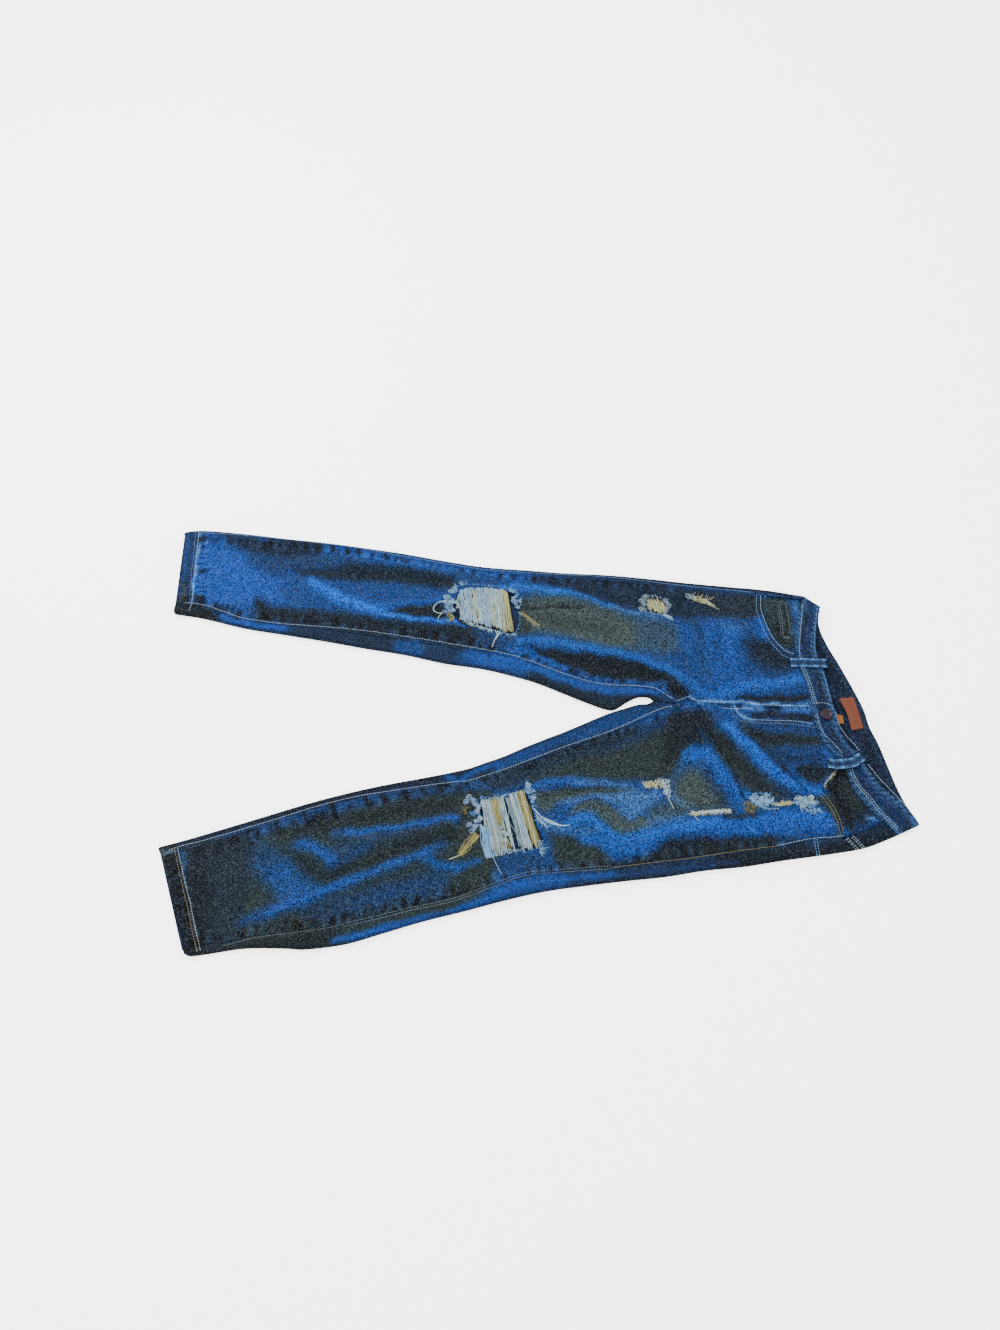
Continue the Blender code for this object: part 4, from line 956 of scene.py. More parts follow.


# The washed and dirty places of the cloth as seen from above, with painted highlights along the fold ridges
# and painted shade in the creases, at the crotch and in the pocket mouths, in the order that they are laid:
# tone, strength, half width or softness of its edge, points; millimetres
FIELDS = [
    # Right leg, hem to knee
    (Tone.BLUE, 0.95, 12, "-480,284 -445,278 -405,256 -375,236 -352,216 -338,196 -345,180 -380,178 -420,176 "
        "-440,180 -478,192"),
    (Tone.DUSK, 0.55, 12, "-400,258 -340,254 -262,258 -252,244 -330,242 -360,226 -385,232"),
    (Tone.CHAR, 0.62, 9, "-452,298 -424,293 -400,290 -386,284 -350,287 -312,284 -297,273 -306,261 -342,256 "
        "-380,262 -410,269 -430,282"),
    (Tone.CHAR, 0.78, 9, "-335,240 -300,237 -250,243 -200,240 -150,233 -108,223 -104,212 -110,205 -140,207 "
        "-180,215 -250,219 -300,224 -322,230"),
    (Tone.INDIGO, 0.85, 9, "-332,222 -292,218 -262,204 -240,186 -262,176 -300,180 -345,182 -352,202"),
    (Tone.INDIGO, 0.7, 8, "-262,214 -200,210 -130,202 -120,186 -180,180 -230,186"),
    (Tone.CHAR, 0.9, 4, "-203,167 -170,175 -130,179 -118,172 -119,155 -150,157 -180,160"),
    (Tone.CHAR, 0.82, 8, "-384,190 -368,178 -346,172 -300,168 -250,163 -200,154 -150,149 -100,146 -74,141 "
        "-78,110 -140,120 -206,130 -287,142 -360,152 -382,156"),
    (Tone.DUSK, 0.8, 7, "-76,144 -52,134 -40,118 -46,104 -80,110"),
    (Tone.CHAR, 0.9, 5, "-500,181 -470,181 -445,172 -430,166 -438,154 -500,150"),
    (Tone.BLUE, 0.8, 3, "-444,168 -410,156 -370,148 -332,143 -332,137 -372,141 -420,151"),
    (Tone.CHAR, 0.6, 9, "-332,146 -250,137 -190,128 -192,106 -250,115 -332,132"),
    (Tone.INDIGO, 0.7, 6, "-184,118 -150,114 -138,104 -150,98 -184,106"),
    (Tone.CHAR, 0.5, 9, "-144,117 -100,109 -92,92 -140,94"),
    (Tone.BLUE, 0.75, 5, "-100,98 -85,103 -55,103 -20,97 0,90 4,78 -20,79 -60,86"),
    # Right leg, knee to hip
    (Tone.DUSK, 0.6, 7, "-112,236 -60,226 0,222 0,216 -60,214 -104,222"),
    (Tone.NAVY, 0.9, 7, "-6,224 40,223 100,222 200,211 218,200 216,172 205,158 170,166 130,176 90,191 60,202 "
        "0,216"),
    (Tone.MOSS, 0.95, 13, "-2,190 30,194 60,191 90,181 120,169 150,157 196,148 212,128 200,104 160,106 "
        "100,114 40,132 0,135 -18,140 -12,170"),
    (Tone.OLIVE, 0.8, 5, "-18,184 -2,186 2,140 -18,136"),
    (Tone.DUSK, 0.7, 6, "-40,136 0,132 8,122 -30,116"),
    (Tone.INDIGO, 0.35, 14, "150,150 214,150 222,100 180,92 150,104"),
    (Tone.CHAR, 0.95, 4, "4,112 40,105 100,98 150,86 204,60 190,57 140,62 100,66 60,76 22,94"),
    (Tone.INDIGO, 0.8, 4, "0,105 60,82 100,65 150,62 190,59 206,48 185,40 170,47 110,52 60,64 0,88"),
    (Tone.CHAR, 0.75, 9, "0,76 40,60 80,47 110,41 160,41 180,34 120,16 60,24 0,56"),
    (Tone.INK, 0.85, 4, "186,54 200,56 216,40 200,34"),
    # Right hip
    (Tone.INDIGO, 0.9, 12, "206,152 240,154 290,158 326,156 350,120 352,70 364,30 250,30 216,52 196,84 "
        "222,110"),
    (Tone.BLUE, 0.8, 12, "212,140 250,150 290,150 300,110 270,70 230,60"),
    (Tone.NAVY, 0.9, 7, "206,206 250,201 322,192 322,160 280,162 214,158"),
    (Tone.SLATE, 0.8, 7, "250,196 322,188 324,160 262,158"),
    (Tone.INDIGO, 0.7, 3, "250,208 330,199 392,191 392,184 330,193 250,202"),
    (Tone.CHAR, 0.8, 13, "296,118 326,122 346,104 362,98 362,80 330,78 308,92"),
    (Tone.BLUE, 0.7, 8, "318,152 332,150 330,122 316,128"),
    (Tone.CHAR, 0.85, 3, "278,39 330,37 372,38 372,30 330,28 286,33"),
    (Tone.OLIVE, 0.9, 3, "330,188 366,184 364,112 340,122 332,150"),
    (Tone.CHAR, 0.8, 3, "340,150 352,148 354,124 344,122"),
    # Left leg, hem to knee
    (Tone.SLATE, 0.97, 8, "-490,-156 -400,-156 -350,-146 -296,-134 -296,-160 -340,-176 -344,-200 -340,-236 "
        "-340,-292 -400,-310 -440,-314"),
    (Tone.CHAR, 0.5, 12, "-436,-190 -414,-186 -396,-230 -396,-286 -412,-284"),
    (Tone.OLIVE, 0.97, 8, "-345,-150 -222,-112 -60,-88 -60,-226 -220,-264 -345,-290"),
    (Tone.CHAR, 0.6, 8, "-296,-176 -262,-204 -230,-196 -170,-168 -104,-148 -104,-160 -180,-184 -240,-208 "
        "-262,-212 -290,-200"),
    (Tone.CHAR, 0.35, 9, "-300,-140 -220,-122 -110,-104 -110,-124 -220,-142 -300,-156"),
    (Tone.INDIGO, 0.62, 15, "-350,-158 -324,-166 -302,-184 -286,-204 -264,-216 -240,-214 -236,-226 -262,-236 "
        "-300,-248 -334,-258 -320,-238 -338,-214 -354,-190"),
    (Tone.BLUE, 0.5, 13, "-342,-198 -308,-188 -288,-204 -264,-217 -246,-220 -276,-235 -300,-240 -318,-226"),
    (Tone.DUSK, 0.85, 10, "-290,-248 -240,-232 -200,-216 -150,-204 -108,-196 -108,-230 -150,-242 -200,-254 "
        "-262,-264"),
    (Tone.INDIGO, 0.45, 12, "-236,-240 -180,-218 -112,-204 -112,-222 -160,-232 -200,-246"),
    (Tone.INDIGO, 0.45, 10, "-256,-188 -230,-182 -196,-166 -150,-154 -200,-156 -250,-164"),
    (Tone.DUSK, 0.85, 6, "-352,-138 -300,-124 -222,-104 -60,-82 -60,-94 -150,-105 -222,-120 -300,-142 "
        "-352,-158"),
    (Tone.INDIGO, 0.6, 5, "-346,-138 -300,-126 -222,-106 -60,-84 -60,-92 -150,-102 -222,-115 -300,-137 "
        "-346,-152"),
    (Tone.NAVY, 0.95, 2.5, "-484,-172 -440,-167 -400,-155 -300,-125 -240,-108 -160,-91 -60,-76 -60,-50 "
        "-160,-64 -300,-100 -450,-146"),
    (Tone.INK, 0.6, 2, "-440,-160 -300,-116 -160,-82 -100,-72 -100,-68 -160,-77 -300,-110 -440,-155"),
    (Tone.OLIVE, 0.95, 4, "-400,-300 -330,-282 -250,-270 -226,-266 -228,-300 -280,-306 -340,-306"),
    (Tone.CHAR, 0.6, 5, "-360,-290 -300,-280 -236,-272 -250,-290 -300,-298 -350,-296"),
    (Tone.OLIVE, 0.9, 3, "-226,-266 -140,-246 -100,-238 -100,-244 -140,-253 -226,-276"),
    (Tone.CHAR, 0.92, 3, "-478,-164 -448,-164 -396,-304 -430,-312"),
    (Tone.ASH, 0.55, 6, "-468,-172 -450,-170 -450,-184 -462,-186"),
    (Tone.INDIGO, 0.6, 4, "-448,-174 -440,-172 -430,-206 -436,-208"),
    # Left leg, knee to hip
    (Tone.SLATE, 0.8, 8, "-62,-76 0,-54 60,-32 120,-8 140,-18 60,-60 0,-78 -40,-96"),
    (Tone.OLIVE, 0.97, 8, "-6,-78 60,-52 120,-34 160,-14 196,-10 210,-34 196,-54 180,-78 150,-80 100,-80 "
        "40,-76 0,-88"),
    (Tone.NAVY, 0.6, 9, "-4,-60 40,-44 70,-30 60,-24 20,-40"),
    (Tone.NAVY, 0.5, 9, "60,-34 130,-8 170,4 196,0 150,-20 100,-36"),
    (Tone.NAVY, 0.75, 6, "196,16 250,14 240,-18 214,-30 190,-12"),
    (Tone.MOSS, 0.9, 5, "4,-98 60,-92 110,-92 134,-96 96,-100 60,-103 36,-112 20,-124 8,-116"),
    (Tone.OLIVE, 0.7, 3, "10,-96 60,-91 120,-91 120,-95 60,-98 20,-106"),
    (Tone.PALE, 0.75, 6, "38,-114 60,-104 100,-100 140,-96 168,-98 160,-112 142,-122 125,-131 110,-119 "
        "100,-108 76,-104 50,-112"),
    (Tone.MOSS, 0.9, 5, "48,-126 60,-112 80,-108 98,-112 110,-124 126,-134 140,-128 152,-142 130,-152 "
        "104,-150 90,-138 78,-126 60,-124"),
    (Tone.MOSS, 0.7, 8, "150,-122 180,-108 200,-114 198,-128 170,-134 150,-136"),
    (Tone.OLIVE, 0.95, 7, "22,-150 50,-156 80,-168 96,-182 90,-197 40,-198 28,-180"),
    (Tone.CHAR, 0.85, 6, "96,-186 120,-188 150,-178 170,-164 200,-158 300,-155 340,-158 310,-166 210,-182 "
        "120,-194 90,-196"),
    (Tone.OLIVE, 0.5, 5, "120,-192 200,-182 300,-170 300,-162 200,-168 130,-184"),
    (Tone.MOSS, 0.95, 13, "184,-84 196,-70 212,-62 226,-72 238,-90 252,-106 250,-120 206,-120 186,-108"),
    # Left hip
    (Tone.INDIGO, 0.85, 8, "236,26 262,24 380,10 384,-20 404,-52 372,-80 340,-60 300,-20 250,-6"),
    (Tone.OLIVE, 0.97, 10, "244,-6 262,-24 286,-54 306,-80 328,-104 304,-108 282,-96 262,-70 246,-46 "
        "238,-20"),
    (Tone.OLIVE, 0.9, 9, "284,2 300,-10 340,-16 384,-22 380,-34 350,-34 320,-36 298,-26 282,-10"),
    (Tone.CHAR, 0.8, 4, "348,-62 372,-60 386,-66 384,-76 372,-84 352,-76"),
    (Tone.OLIVE, 0.95, 5, "362,-104 384,-100 396,-112 398,-150 388,-154 378,-120 360,-114"),
    (Tone.BLUE, 0.8, 6, "206,-130 262,-128 330,-122 376,-122 384,-150 340,-152 260,-152 180,-148"),
    (Tone.OLIVE, 0.9, 4, "398,-66 412,-70 416,-98 402,-102 394,-86"),
    (Tone.INDIGO, 0.9, 4, "402,-102 418,-98 430,-116 442,-134 420,-136 402,-122"),
    (Tone.TAN, 0.6, 3, "402,-122 414,-124 416,-130 402,-130"),
    (Tone.OLIVE, 0.8, 4, "404,-138 432,-136 436,-150 410,-154"),
    # Hips' outer strips, painted shade inside the left pocket's mouth and in the folds of the left hip
    (Tone.NAVY, 0.8, 3, "0,236 100,230 200,218 320,205 392,194 392,188 320,197 200,211 100,223 0,230"),
    (Tone.NAVY, 0.75, 5, "40,-201 130,-193 260,-176 280,-190 200,-202 60,-220"),
    (Tone.CHAR, 0.85, 8, "236,-178 310,-168 400,-156 470,-150 480,-170 310,-190 236,-200"),
    (Tone.CHAR, 0.85, 4, "388,-66 412,-68 420,-96 432,-122 404,-134 392,-112"),
    (Tone.NAVY, 0.85, 5, "404,-132 436,-124 470,-150 450,-160 408,-160"),
    (Tone.OLIVE, 0.7, 5, "404,-78 414,-76 420,-100 426,-116 414,-122 404,-104"),
    (Tone.INK, 0.9, 3, "402,-68 392,-78 384,-92 392,-106 398,-118 402,-132 404,-150 412,-150 408,-128 "
        "402,-108 396,-92 400,-80 410,-72"),
    (Tone.CHAR, 0.75, 9, "180,20 230,16 242,-8 236,-30 214,-30 200,-38 190,-52 176,-62"),
    (Tone.DUSK, 0.55, 8, "318,-38 376,-40 384,-58 350,-56 330,-62"),
    (Tone.DUSK, 0.2, 14, "226,84 262,90 262,140 230,148"),
    (Tone.SKY, 0.6, 3, "426,-128 440,-130 442,-136 428,-134"),
]
# Strokes over the fields: wash, dirt and stitch lines, painted highlights along the fold ridges and painted
# shade in the creases
STROKES = [
    # Right leg
    (Tone.BRIGHT, 0.95, 9, "-306,214 -286,200 -262,186 -240,178 -212,168"),
    (Tone.BRIGHT, 0.85, 5, "-216,168 -186,160 -150,154 -112,151 -92,149"),
    (Tone.BLUE, 0.7, 5, "-214,173 -186,180 -150,184 -126,189"),
    (Tone.BLUE, 0.7, 6, "-290,270 -230,258 -180,248 -120,236"),
    (Tone.BLUE, 0.6, 6, "-250,262 -190,252 -140,242 -60,226 0,222"),
    (Tone.BRIGHT, 0.7, 7, "-36,206 -14,209 14,203 50,198"),
    (Tone.BRIGHT, 0.6, 4, "40,199 66,196 90,185 120,173"),
    (Tone.PALE, 0.6, 3, "116,174 140,166 160,161 198,158"),
    (Tone.BRIGHT, 0.6, 7, "-14,121 30,121 60,113 100,106 140,98 170,86 200,71 232,46 250,38"),
    (Tone.BLUE, 0.7, 5, "-30,108 0,104 24,92 50,80"),
    (Tone.BLUE, 0.8, 5, "0,84 40,66 80,52 112,46 150,45 176,43"),
    (Tone.INK, 0.6, 2, "2,172 30,176 78,174"),
    (Tone.CREAM, 0.5, 2.5, "-14,167 0,158 14,147"),
    (Tone.OLIVE, 0.5, 9, "20,158 60,150 110,138"),
    (Tone.BRIGHT, 0.65, 9, "262,46 300,52 340,56 366,62"),
    (Tone.BLUE, 0.6, 8, "252,132 276,118 290,88 282,60"),
    (Tone.PALE, 0.3, 8, "262,150 284,140 300,146"),
    (Tone.DUSK, 0.5, 6, "232,150 240,130 236,100 246,70"),
    # Fly
    (Tone.BLUE, 0.8, 4, "252,22 280,20 300,20 316,17"),
    (Tone.CHAR, 0.8, 4, "300,10 330,12 352,8 378,6"),
    (Tone.BLUE, 0.75, 4, "332,18 352,17 374,15"),
    (Tone.INK, 0.6, 2.5, "296,2 330,3 370,-1"),
    (Tone.BLUE, 0.7, 6, "302,-6 330,-10 360,-10 384,-16"),
    # Left leg
    (Tone.INDIGO, 0.8, 10, "-296,-166 -276,-169 -262,-178 -250,-188"),
    (Tone.BLUE, 0.65, 7, "-290,-166 -273,-170 -260,-180 -251,-189"),
    (Tone.INDIGO, 0.6, 7, "-250,-190 -228,-182 -206,-170"),
    (Tone.INDIGO, 0.8, 7, "-250,-151 -200,-149 -165,-145 -135,-138 -112,-133 -96,-133"),
    (Tone.BLUE, 0.75, 4, "-236,-150 -200,-147 -165,-143 -135,-137 -112,-132 -96,-133"),
    (Tone.INDIGO, 0.85, 8, "-354,-262 -320,-250 -290,-239 -262,-227 -230,-214 -200,-202 -170,-191 -140,-179 "
        "-112,-167"),
    (Tone.BLUE, 0.7, 5.5, "-322,-250 -290,-238 -262,-226 -230,-213 -200,-201 -165,-187 -130,-174"),
    (Tone.BLUE, 0.85, 7, "-132,-186 -116,-192 -98,-196"),
    (Tone.BLUE, 0.75, 5, "-96,-198 -80,-190 -66,-186"),
    (Tone.BLUE, 0.85, 5, "-242,-286 -200,-277 -160,-267 -100,-252 -60,-236 -20,-218 20,-211 100,-204"),
    (Tone.BLUE, 0.8, 5, "-110,-77 -92,-80 -70,-68 -40,-56"),
    (Tone.BLUE, 0.85, 7, "-20,-44 0,-36 40,-20 80,-4 120,10 160,21 184,24"),
    (Tone.BRIGHT, 0.4, 6, "86,-2 120,10 160,20"),
    (Tone.BLUE, 0.85, 4, "0,-92 14,-84 40,-81 70,-84"),
    (Tone.PALE, 0.5, 4, "60,-84 100,-86 130,-90"),
    (Tone.BLUE, 0.7, 4, "176,12 190,16 214,24"),
    (Tone.BRIGHT, 0.7, 8, "48,-140 62,-134 76,-131 88,-141 100,-153 120,-158 150,-152 180,-144 220,-141 "
        "260,-144 300,-136"),
    (Tone.BRIGHT, 0.5, 7, "66,-156 90,-162 106,-172 126,-175 146,-166 164,-155"),
    (Tone.BLUE, 0.7, 7, "240,-150 300,-142 350,-136 380,-140"),
    (Tone.PALE, 0.55, 5, "20,-136 40,-144 60,-148 84,-146"),
    (Tone.PALE, 0.4, 8, "150,-140 172,-132 196,-134"),
    (Tone.PALE, 0.4, 6, "176,-90 186,-104 196,-112"),
    (Tone.BRIGHT, 0.7, 8, "206,-46 226,-42 240,-56 252,-84 264,-98 280,-102"),
    (Tone.BLUE, 0.6, 7, "240,-70 262,-98 276,-120"),
    (Tone.BRIGHT, 0.75, 7, "262,-6 280,-25 300,-46 315,-65 330,-80 352,-92 374,-98"),
    (Tone.INDIGO, 0.6, 4, "226,-14 236,-30 240,-44"),
    (Tone.BLUE, 0.7, 6, "336,-42 360,-48 388,-46"),
    (Tone.CHAR, 0.7, 5, "248,-128 266,-132 284,-128"),
    (Tone.TAN, 0.75, 5, "276,-112 286,-118 280,-124"),
    (Tone.TAN, 0.6, 3, "310,-114 334,-112"),
    (Tone.BRIGHT, 0.4, 8, "320,-128 350,-130 374,-128"),
    (Tone.DUSK, 0.8, 5, "352,-166 380,-160 392,-158"),
    (Tone.INDIGO, 0.7, 5, "316,-160 336,-156 362,-154 396,-152"),
    (Tone.BLUE, 0.6, 5, "398,-150 430,-142 452,-130"),
    # Waistband and the inside of its back
    (Tone.BLUE, 0.7, 4, "394,188 402,182 406,172"),
    (Tone.PALE, 0.8, 4, "376,180 378,164 376,146 372,130"),
    (Tone.CHAR, 0.8, 3, "384,184 386,160 382,140 376,118"),
    (Tone.PALE, 0.55, 3, "392,178 392,160 386,140 384,120"),
    (Tone.BLUE, 0.7, 4, "402,170 400,150 398,162"),
    (Tone.CHAR, 0.8, 3, "400,140 396,120 394,100"),
    (Tone.PALE, 0.45, 3, "380,76 384,60 384,40 382,26"),
    (Tone.NAVY, 0.8, 3, "391,78 394,58 394,36 391,26"),
    (Tone.PALE, 0.45, 3, "400,76 403,56 402,34"),
    (Tone.BLUE, 0.5, 5, "388,4 398,-8 404,-18"),
    (Tone.CHAR, 0.8, 3, "400,-14 410,-28 424,-40"),
    (Tone.BLUE, 0.6, 4, "404,-4 414,-18 426,-36"),
    (Tone.INK, 0.8, 2.6, "436,-52 444,-74 458,-96 476,-124"),
    (Tone.BLUE, 0.6, 4, "424,-56 430,-76 444,-98 456,-116"),
    (Tone.PALE, 0.5, 4, "438,-60 450,-78 464,-98 480,-118"),
    (Tone.BLUE, 0.6, 4, "450,-110 464,-122 474,-132"),
    (Tone.INK, 0.7, 6, "404,38 412,30 418,20 420,6"),
    (Tone.DUSK, 0.5, 8, "420,84 436,46 446,10 456,-26 470,-70 480,-108"),
    # Fly
    (Tone.SKY, 0.75, 1.8, "216,37 230,31 262,30 290,29 320,25 350,24 378,23"),
    (Tone.PALE, 0.8, 4, "290,21 312,19"),
    (Tone.PALE, 0.7, 4, "342,19 374,17"),
    (Tone.INK, 0.7, 2.5, "316,21 334,19"),
    (Tone.INK, 0.6, 2, "262,24 284,22"),
    (Tone.SKY, 0.65, 1.8, "276,24 279,14 286,7 297,3"),
    (Tone.PALE, 0.5, 1.5, "297,3 320,1 350,0 377,-4"),
    (Tone.INK, 0.55, 2, "300,9 330,10 352,6 376,4"),
    # Painted shade in the left hip's creases and painted highlights along its ridges
    (Tone.INK, 0.6, 2, "238,-8 246,-28 258,-52 268,-80 272,-104"),
    (Tone.BRIGHT, 0.5, 5, "266,-6 282,-32 306,-62 338,-96"),
    (Tone.BLUE, 0.7, 6, "204,-44 226,-44 240,-72 258,-104"),
    (Tone.INK, 0.4, 2, "330,-60 342,-80 352,-98"),
    # Darker strokes over the hips, some of them painted shade in their creases
    (Tone.DUSK, 0.3, 9, "226,150 230,110 240,74"),
    (Tone.NAVY, 0.2, 7, "268,156 262,120 268,80"),
    (Tone.DUSK, 0.3, 9, "300,148 292,112 296,76"),
    (Tone.NAVY, 0.3, 6, "316,74 330,68 352,72"),
    (Tone.CHAR, 0.55, 8, "252,-22 270,-48 290,-74 306,-96"),
    (Tone.CHAR, 0.6, 6, "296,-18 330,-24 378,-28"),
    (Tone.NAVY, 0.5, 6, "300,-6 340,-8 380,-14"),
    (Tone.NAVY, 0.45, 8, "330,-44 352,-50 376,-50"),
    (Tone.NAVY, 0.5, 5, "316,-90 336,-104 352,-112"),
    (Tone.NAVY, 0.5, 6, "306,-34 318,-50 330,-66"),
    (Tone.CREAM, 0.8, 2, "383,-90 387,-82 393,-75"),
    (Tone.NAVY, 0.45, 8, "232,-70 244,-96 250,-112"),
    (Tone.DUSK, 0.5, 9, "-40,-176 -16,-180 6,-186"),
    # Darker cloth at the far hip's middle, painted shadows of the thighs, the dirt by the right hem and a
    # painted highlight along a fold of the right shin
    (Tone.NAVY, 0.2, 10, "214,100 222,80 236,62"),
    (Tone.NAVY, 0.45, 9, "160,30 184,30 200,22"),
    (Tone.DUSK, 0.4, 10, "-30,-196 10,-196 60,-198"),
    (Tone.TAN, 0.3, 4, "-490,196 -488,184"),
    (Tone.CHAR, 0.5, 5, "-488,214 -486,186"),
    (Tone.INDIGO, 0.5, 4, "60,-210 130,-203 200,-195 260,-189"),
    (Tone.NAVY, 0.55, 9, "-50,-50 0,-34 50,-14 100,4 150,18 176,24"),
    (Tone.INDIGO, 0.4, 4, "-20,-48 40,-24 100,-1"),
    (Tone.CHAR, 0.4, 4, "-60,-78 0,-60 60,-38 120,-16"),
    (Tone.BRIGHT, 0.5, 5, "-300,212 -282,198 -262,186 -240,177 -212,167 -180,160"),
    (Tone.DUSK, 0.4, 8, "-396,246 -340,250 -290,252"),
    # Hems, with painted shadow beside the right hem's stitching
    (Tone.INK, 0.6, 1.6, "-481,302 -480.5,240 -480,182"),
    (Tone.SKY, 0.75, 1.6, "-477,302 -476,240 -475,186"),
    (Tone.NAVY, 0.7, 2.0, "-498,302 -496,240 -494,180"),
    (Tone.NAVY, 0.6, 3.0, "-489,300 -487,240 -486,210"),
    (Tone.TAN, 0.35, 5.0, "-490,206 -488,190"),
    (Tone.INK, 0.75, 3.0, "-444,-188 -432,-224 -420,-260 -410,-296"),
    (Tone.ASH, 0.6, 1.6, "-440,-186 -428,-222 -416,-258 -405,-297"),
    (Tone.ASH, 0.45, 1.8, "-467,-174 -452,-216 -436,-262 -424,-296"),
    (Tone.ASH, 0.6, 6.0, "-458,-174 -453,-183"),
    (Tone.CHAR, 0.8, 4, "-456,-186 -444,-224 -430,-262 -418,-298"),
    (Tone.SLATE, 0.6, 3, "-462,-186 -450,-224 -436,-262 -424,-298"),
]
# Painted shade in the troughs of the leg seams' puckers: ends in plan, millimetres
PUCKER_SHADE_LINES = [
    "-396,-162 -397,-173", "-360,-149 -355,-163", "-325,-138 -321,-150", "-291,-126 -285,-139",
    "-257,-114 -249,-129", "-214,-105 -208,-115", "-192,-101 -186,-110", "-165,-97 -160,-105",
    "-141,-93 -136,-100", "-118,-90 -114,-96", "-98,-88 -94,-94", "-300,-271 -302,-263",
    "-286,-273 -287,-267", "-268,-269 -268,-261", "-246,-264 -245,-258", "-232,-262 -230,-253",
    "-204,-254 -202,-244", "-183,-249 -181,-242", "-160,-244 -157,-236", "-144,-239 -141,-232",
    "-112,-232 -109,-226", "-90,-226 -87,-220", "-347,152 -345,162", "-307,149 -305,158", "-269,145 -268,153",
    "-233,140 -232,148", "-214,138 -212,147", "-174,133 -172,141", "-148,129 -146,135", "-128,126 -126,132",
    "-104,122 -102,128", "-80,118 -78,124", "-408,160 -406,166", "-425,168 -424,174", "-442,175 -441,180",
    "-460,184 -463,191", "-470,186 -472,193", "-372,284 -372,278", "-338,281 -337,274", "-322,280 -321,274",
    "-304,277 -302,269", "-284,273 -282,267", "-262,270 -260,264", "-246,267 -244,262", "-205,258 -203,253",
    "-180,253 -178,248",
]


@dataclass(frozen=True)
class Denim:
    """Washed indigo twill, woven: matt, speckled where the white weft shows, with a fine diagonal rib."""

    name: str
    speckle: float = 0.85
    roughness: float = 0.86
    weft: tuple[float, float, float] = (0.022, 0.027, 0.034)

    def material(self) -> Finish:
        """Build the material.

        Returns:
            The material.
        """
        material, nodes, links, shader = blank(self.name)
        shader.inputs["Roughness"].default_value = self.roughness
        shader.inputs["Specular IOR Level"].default_value = 0.08
        wash = add(nodes, "ShaderNodeAttribute", attribute_name="wash")
        where = add(nodes, "ShaderNodeTexCoord")
        # Speckle of warp and weft, 0.6 mm in real twill, drawn about 2 mm so that it shows
        fine = add(nodes, "ShaderNodeTexNoise", links, {"Vector": where.outputs["Object"]},
                   Scale=500.0, Detail=2.0, Roughness=0.6)
        # Uneven wear, blotches of about 6 mm
        coarse = add(nodes, "ShaderNodeTexNoise", links, {"Vector": where.outputs["Object"]},
                     Scale=160.0, Detail=3.0, Roughness=0.6)
        # Twill rib, 0.8 mm in real denim, drawn coarser
        rib = add(nodes, "ShaderNodeTexWave", links, {"Vector": where.outputs["Object"]},
                  Scale=200.0, Distortion=1.2, Detail=1.0, wave_type="BANDS", bands_direction="DIAGONAL")
        spread = add(nodes, "ShaderNodeMapRange", links, {"Value": fine.outputs["Fac"]},
                     **span(0.38, 0.62, 1.0 - self.speckle, 1.0 + self.speckle))
        worn = add(nodes, "ShaderNodeMapRange", links, {"Value": coarse.outputs["Fac"]},
                   **span(0.3, 0.7, 0.82, 1.18))
        shade = add(nodes, "ShaderNodeMath", links, {0: spread.outputs[0], 1: worn.outputs[0]},
                    operation="MULTIPLY")
        tone = add(nodes, "ShaderNodeVectorMath", links, {0: wash.outputs["Color"]}, operation="SCALE")
        links.new(shade.outputs[0], tone.inputs["Scale"])
        # White weft showing as light specks
        weft = add(nodes, "ShaderNodeTexNoise", links, {"Vector": where.outputs["Object"]},
                   Scale=560.0, Detail=1.0, Roughness=0.5)
        specks = add(nodes, "ShaderNodeMapRange", links, {"Value": weft.outputs["Fac"]},
                     **span(0.52, 0.68, 0.0, 1.0))
        lit = add(nodes, "ShaderNodeVectorMath", links, {0: specks.outputs[0], 2: tone.outputs[0]},
                  operation="MULTIPLY_ADD")
        lit.inputs[1].default_value = self.weft
        links.new(lit.outputs[0], shader.inputs["Base Color"])
        depth = add(nodes, "ShaderNodeMath", links, {0: rib.outputs["Fac"], 1: fine.outputs["Fac"]},
                    operation="ADD")
        bump = add(nodes, "ShaderNodeBump", links, {"Height": depth.outputs[0]}, Strength=0.35,
                   Distance=0.0003)
        links.new(bump.outputs[0], shader.inputs["Normal"])
        return material


@dataclass(frozen=True)
class Yarn:
    """Spun cotton, fuzzy and matt; its colour differs from thread to thread."""

    name: str
    roughness: float = 0.9

    def material(self) -> Finish:
        """Build the material.

        Returns:
            The material.
        """
        material, nodes, links, shader = blank(self.name)
        shader.inputs["Roughness"].default_value = self.roughness
        shader.inputs["Specular IOR Level"].default_value = 0.2
        wash = add(nodes, "ShaderNodeAttribute", attribute_name="wash")
        where = add(nodes, "ShaderNodeTexCoord")
        # Twist of the yarn and dirt on it, about 1.5 mm
        twist = add(nodes, "ShaderNodeTexNoise", links, {"Vector": where.outputs["Object"]}, Scale=650.0,
                    Detail=2.0)
        shade = add(nodes, "ShaderNodeMapRange", links, {"Value": twist.outputs["Fac"]},
                    **span(0.3, 0.7, 0.72, 1.12))
        tone = add(nodes, "ShaderNodeVectorMath", links, {0: wash.outputs["Color"]}, operation="SCALE")
        links.new(shade.outputs[0], tone.inputs["Scale"])
        links.new(tone.outputs[0], shader.inputs["Base Color"])
        return material


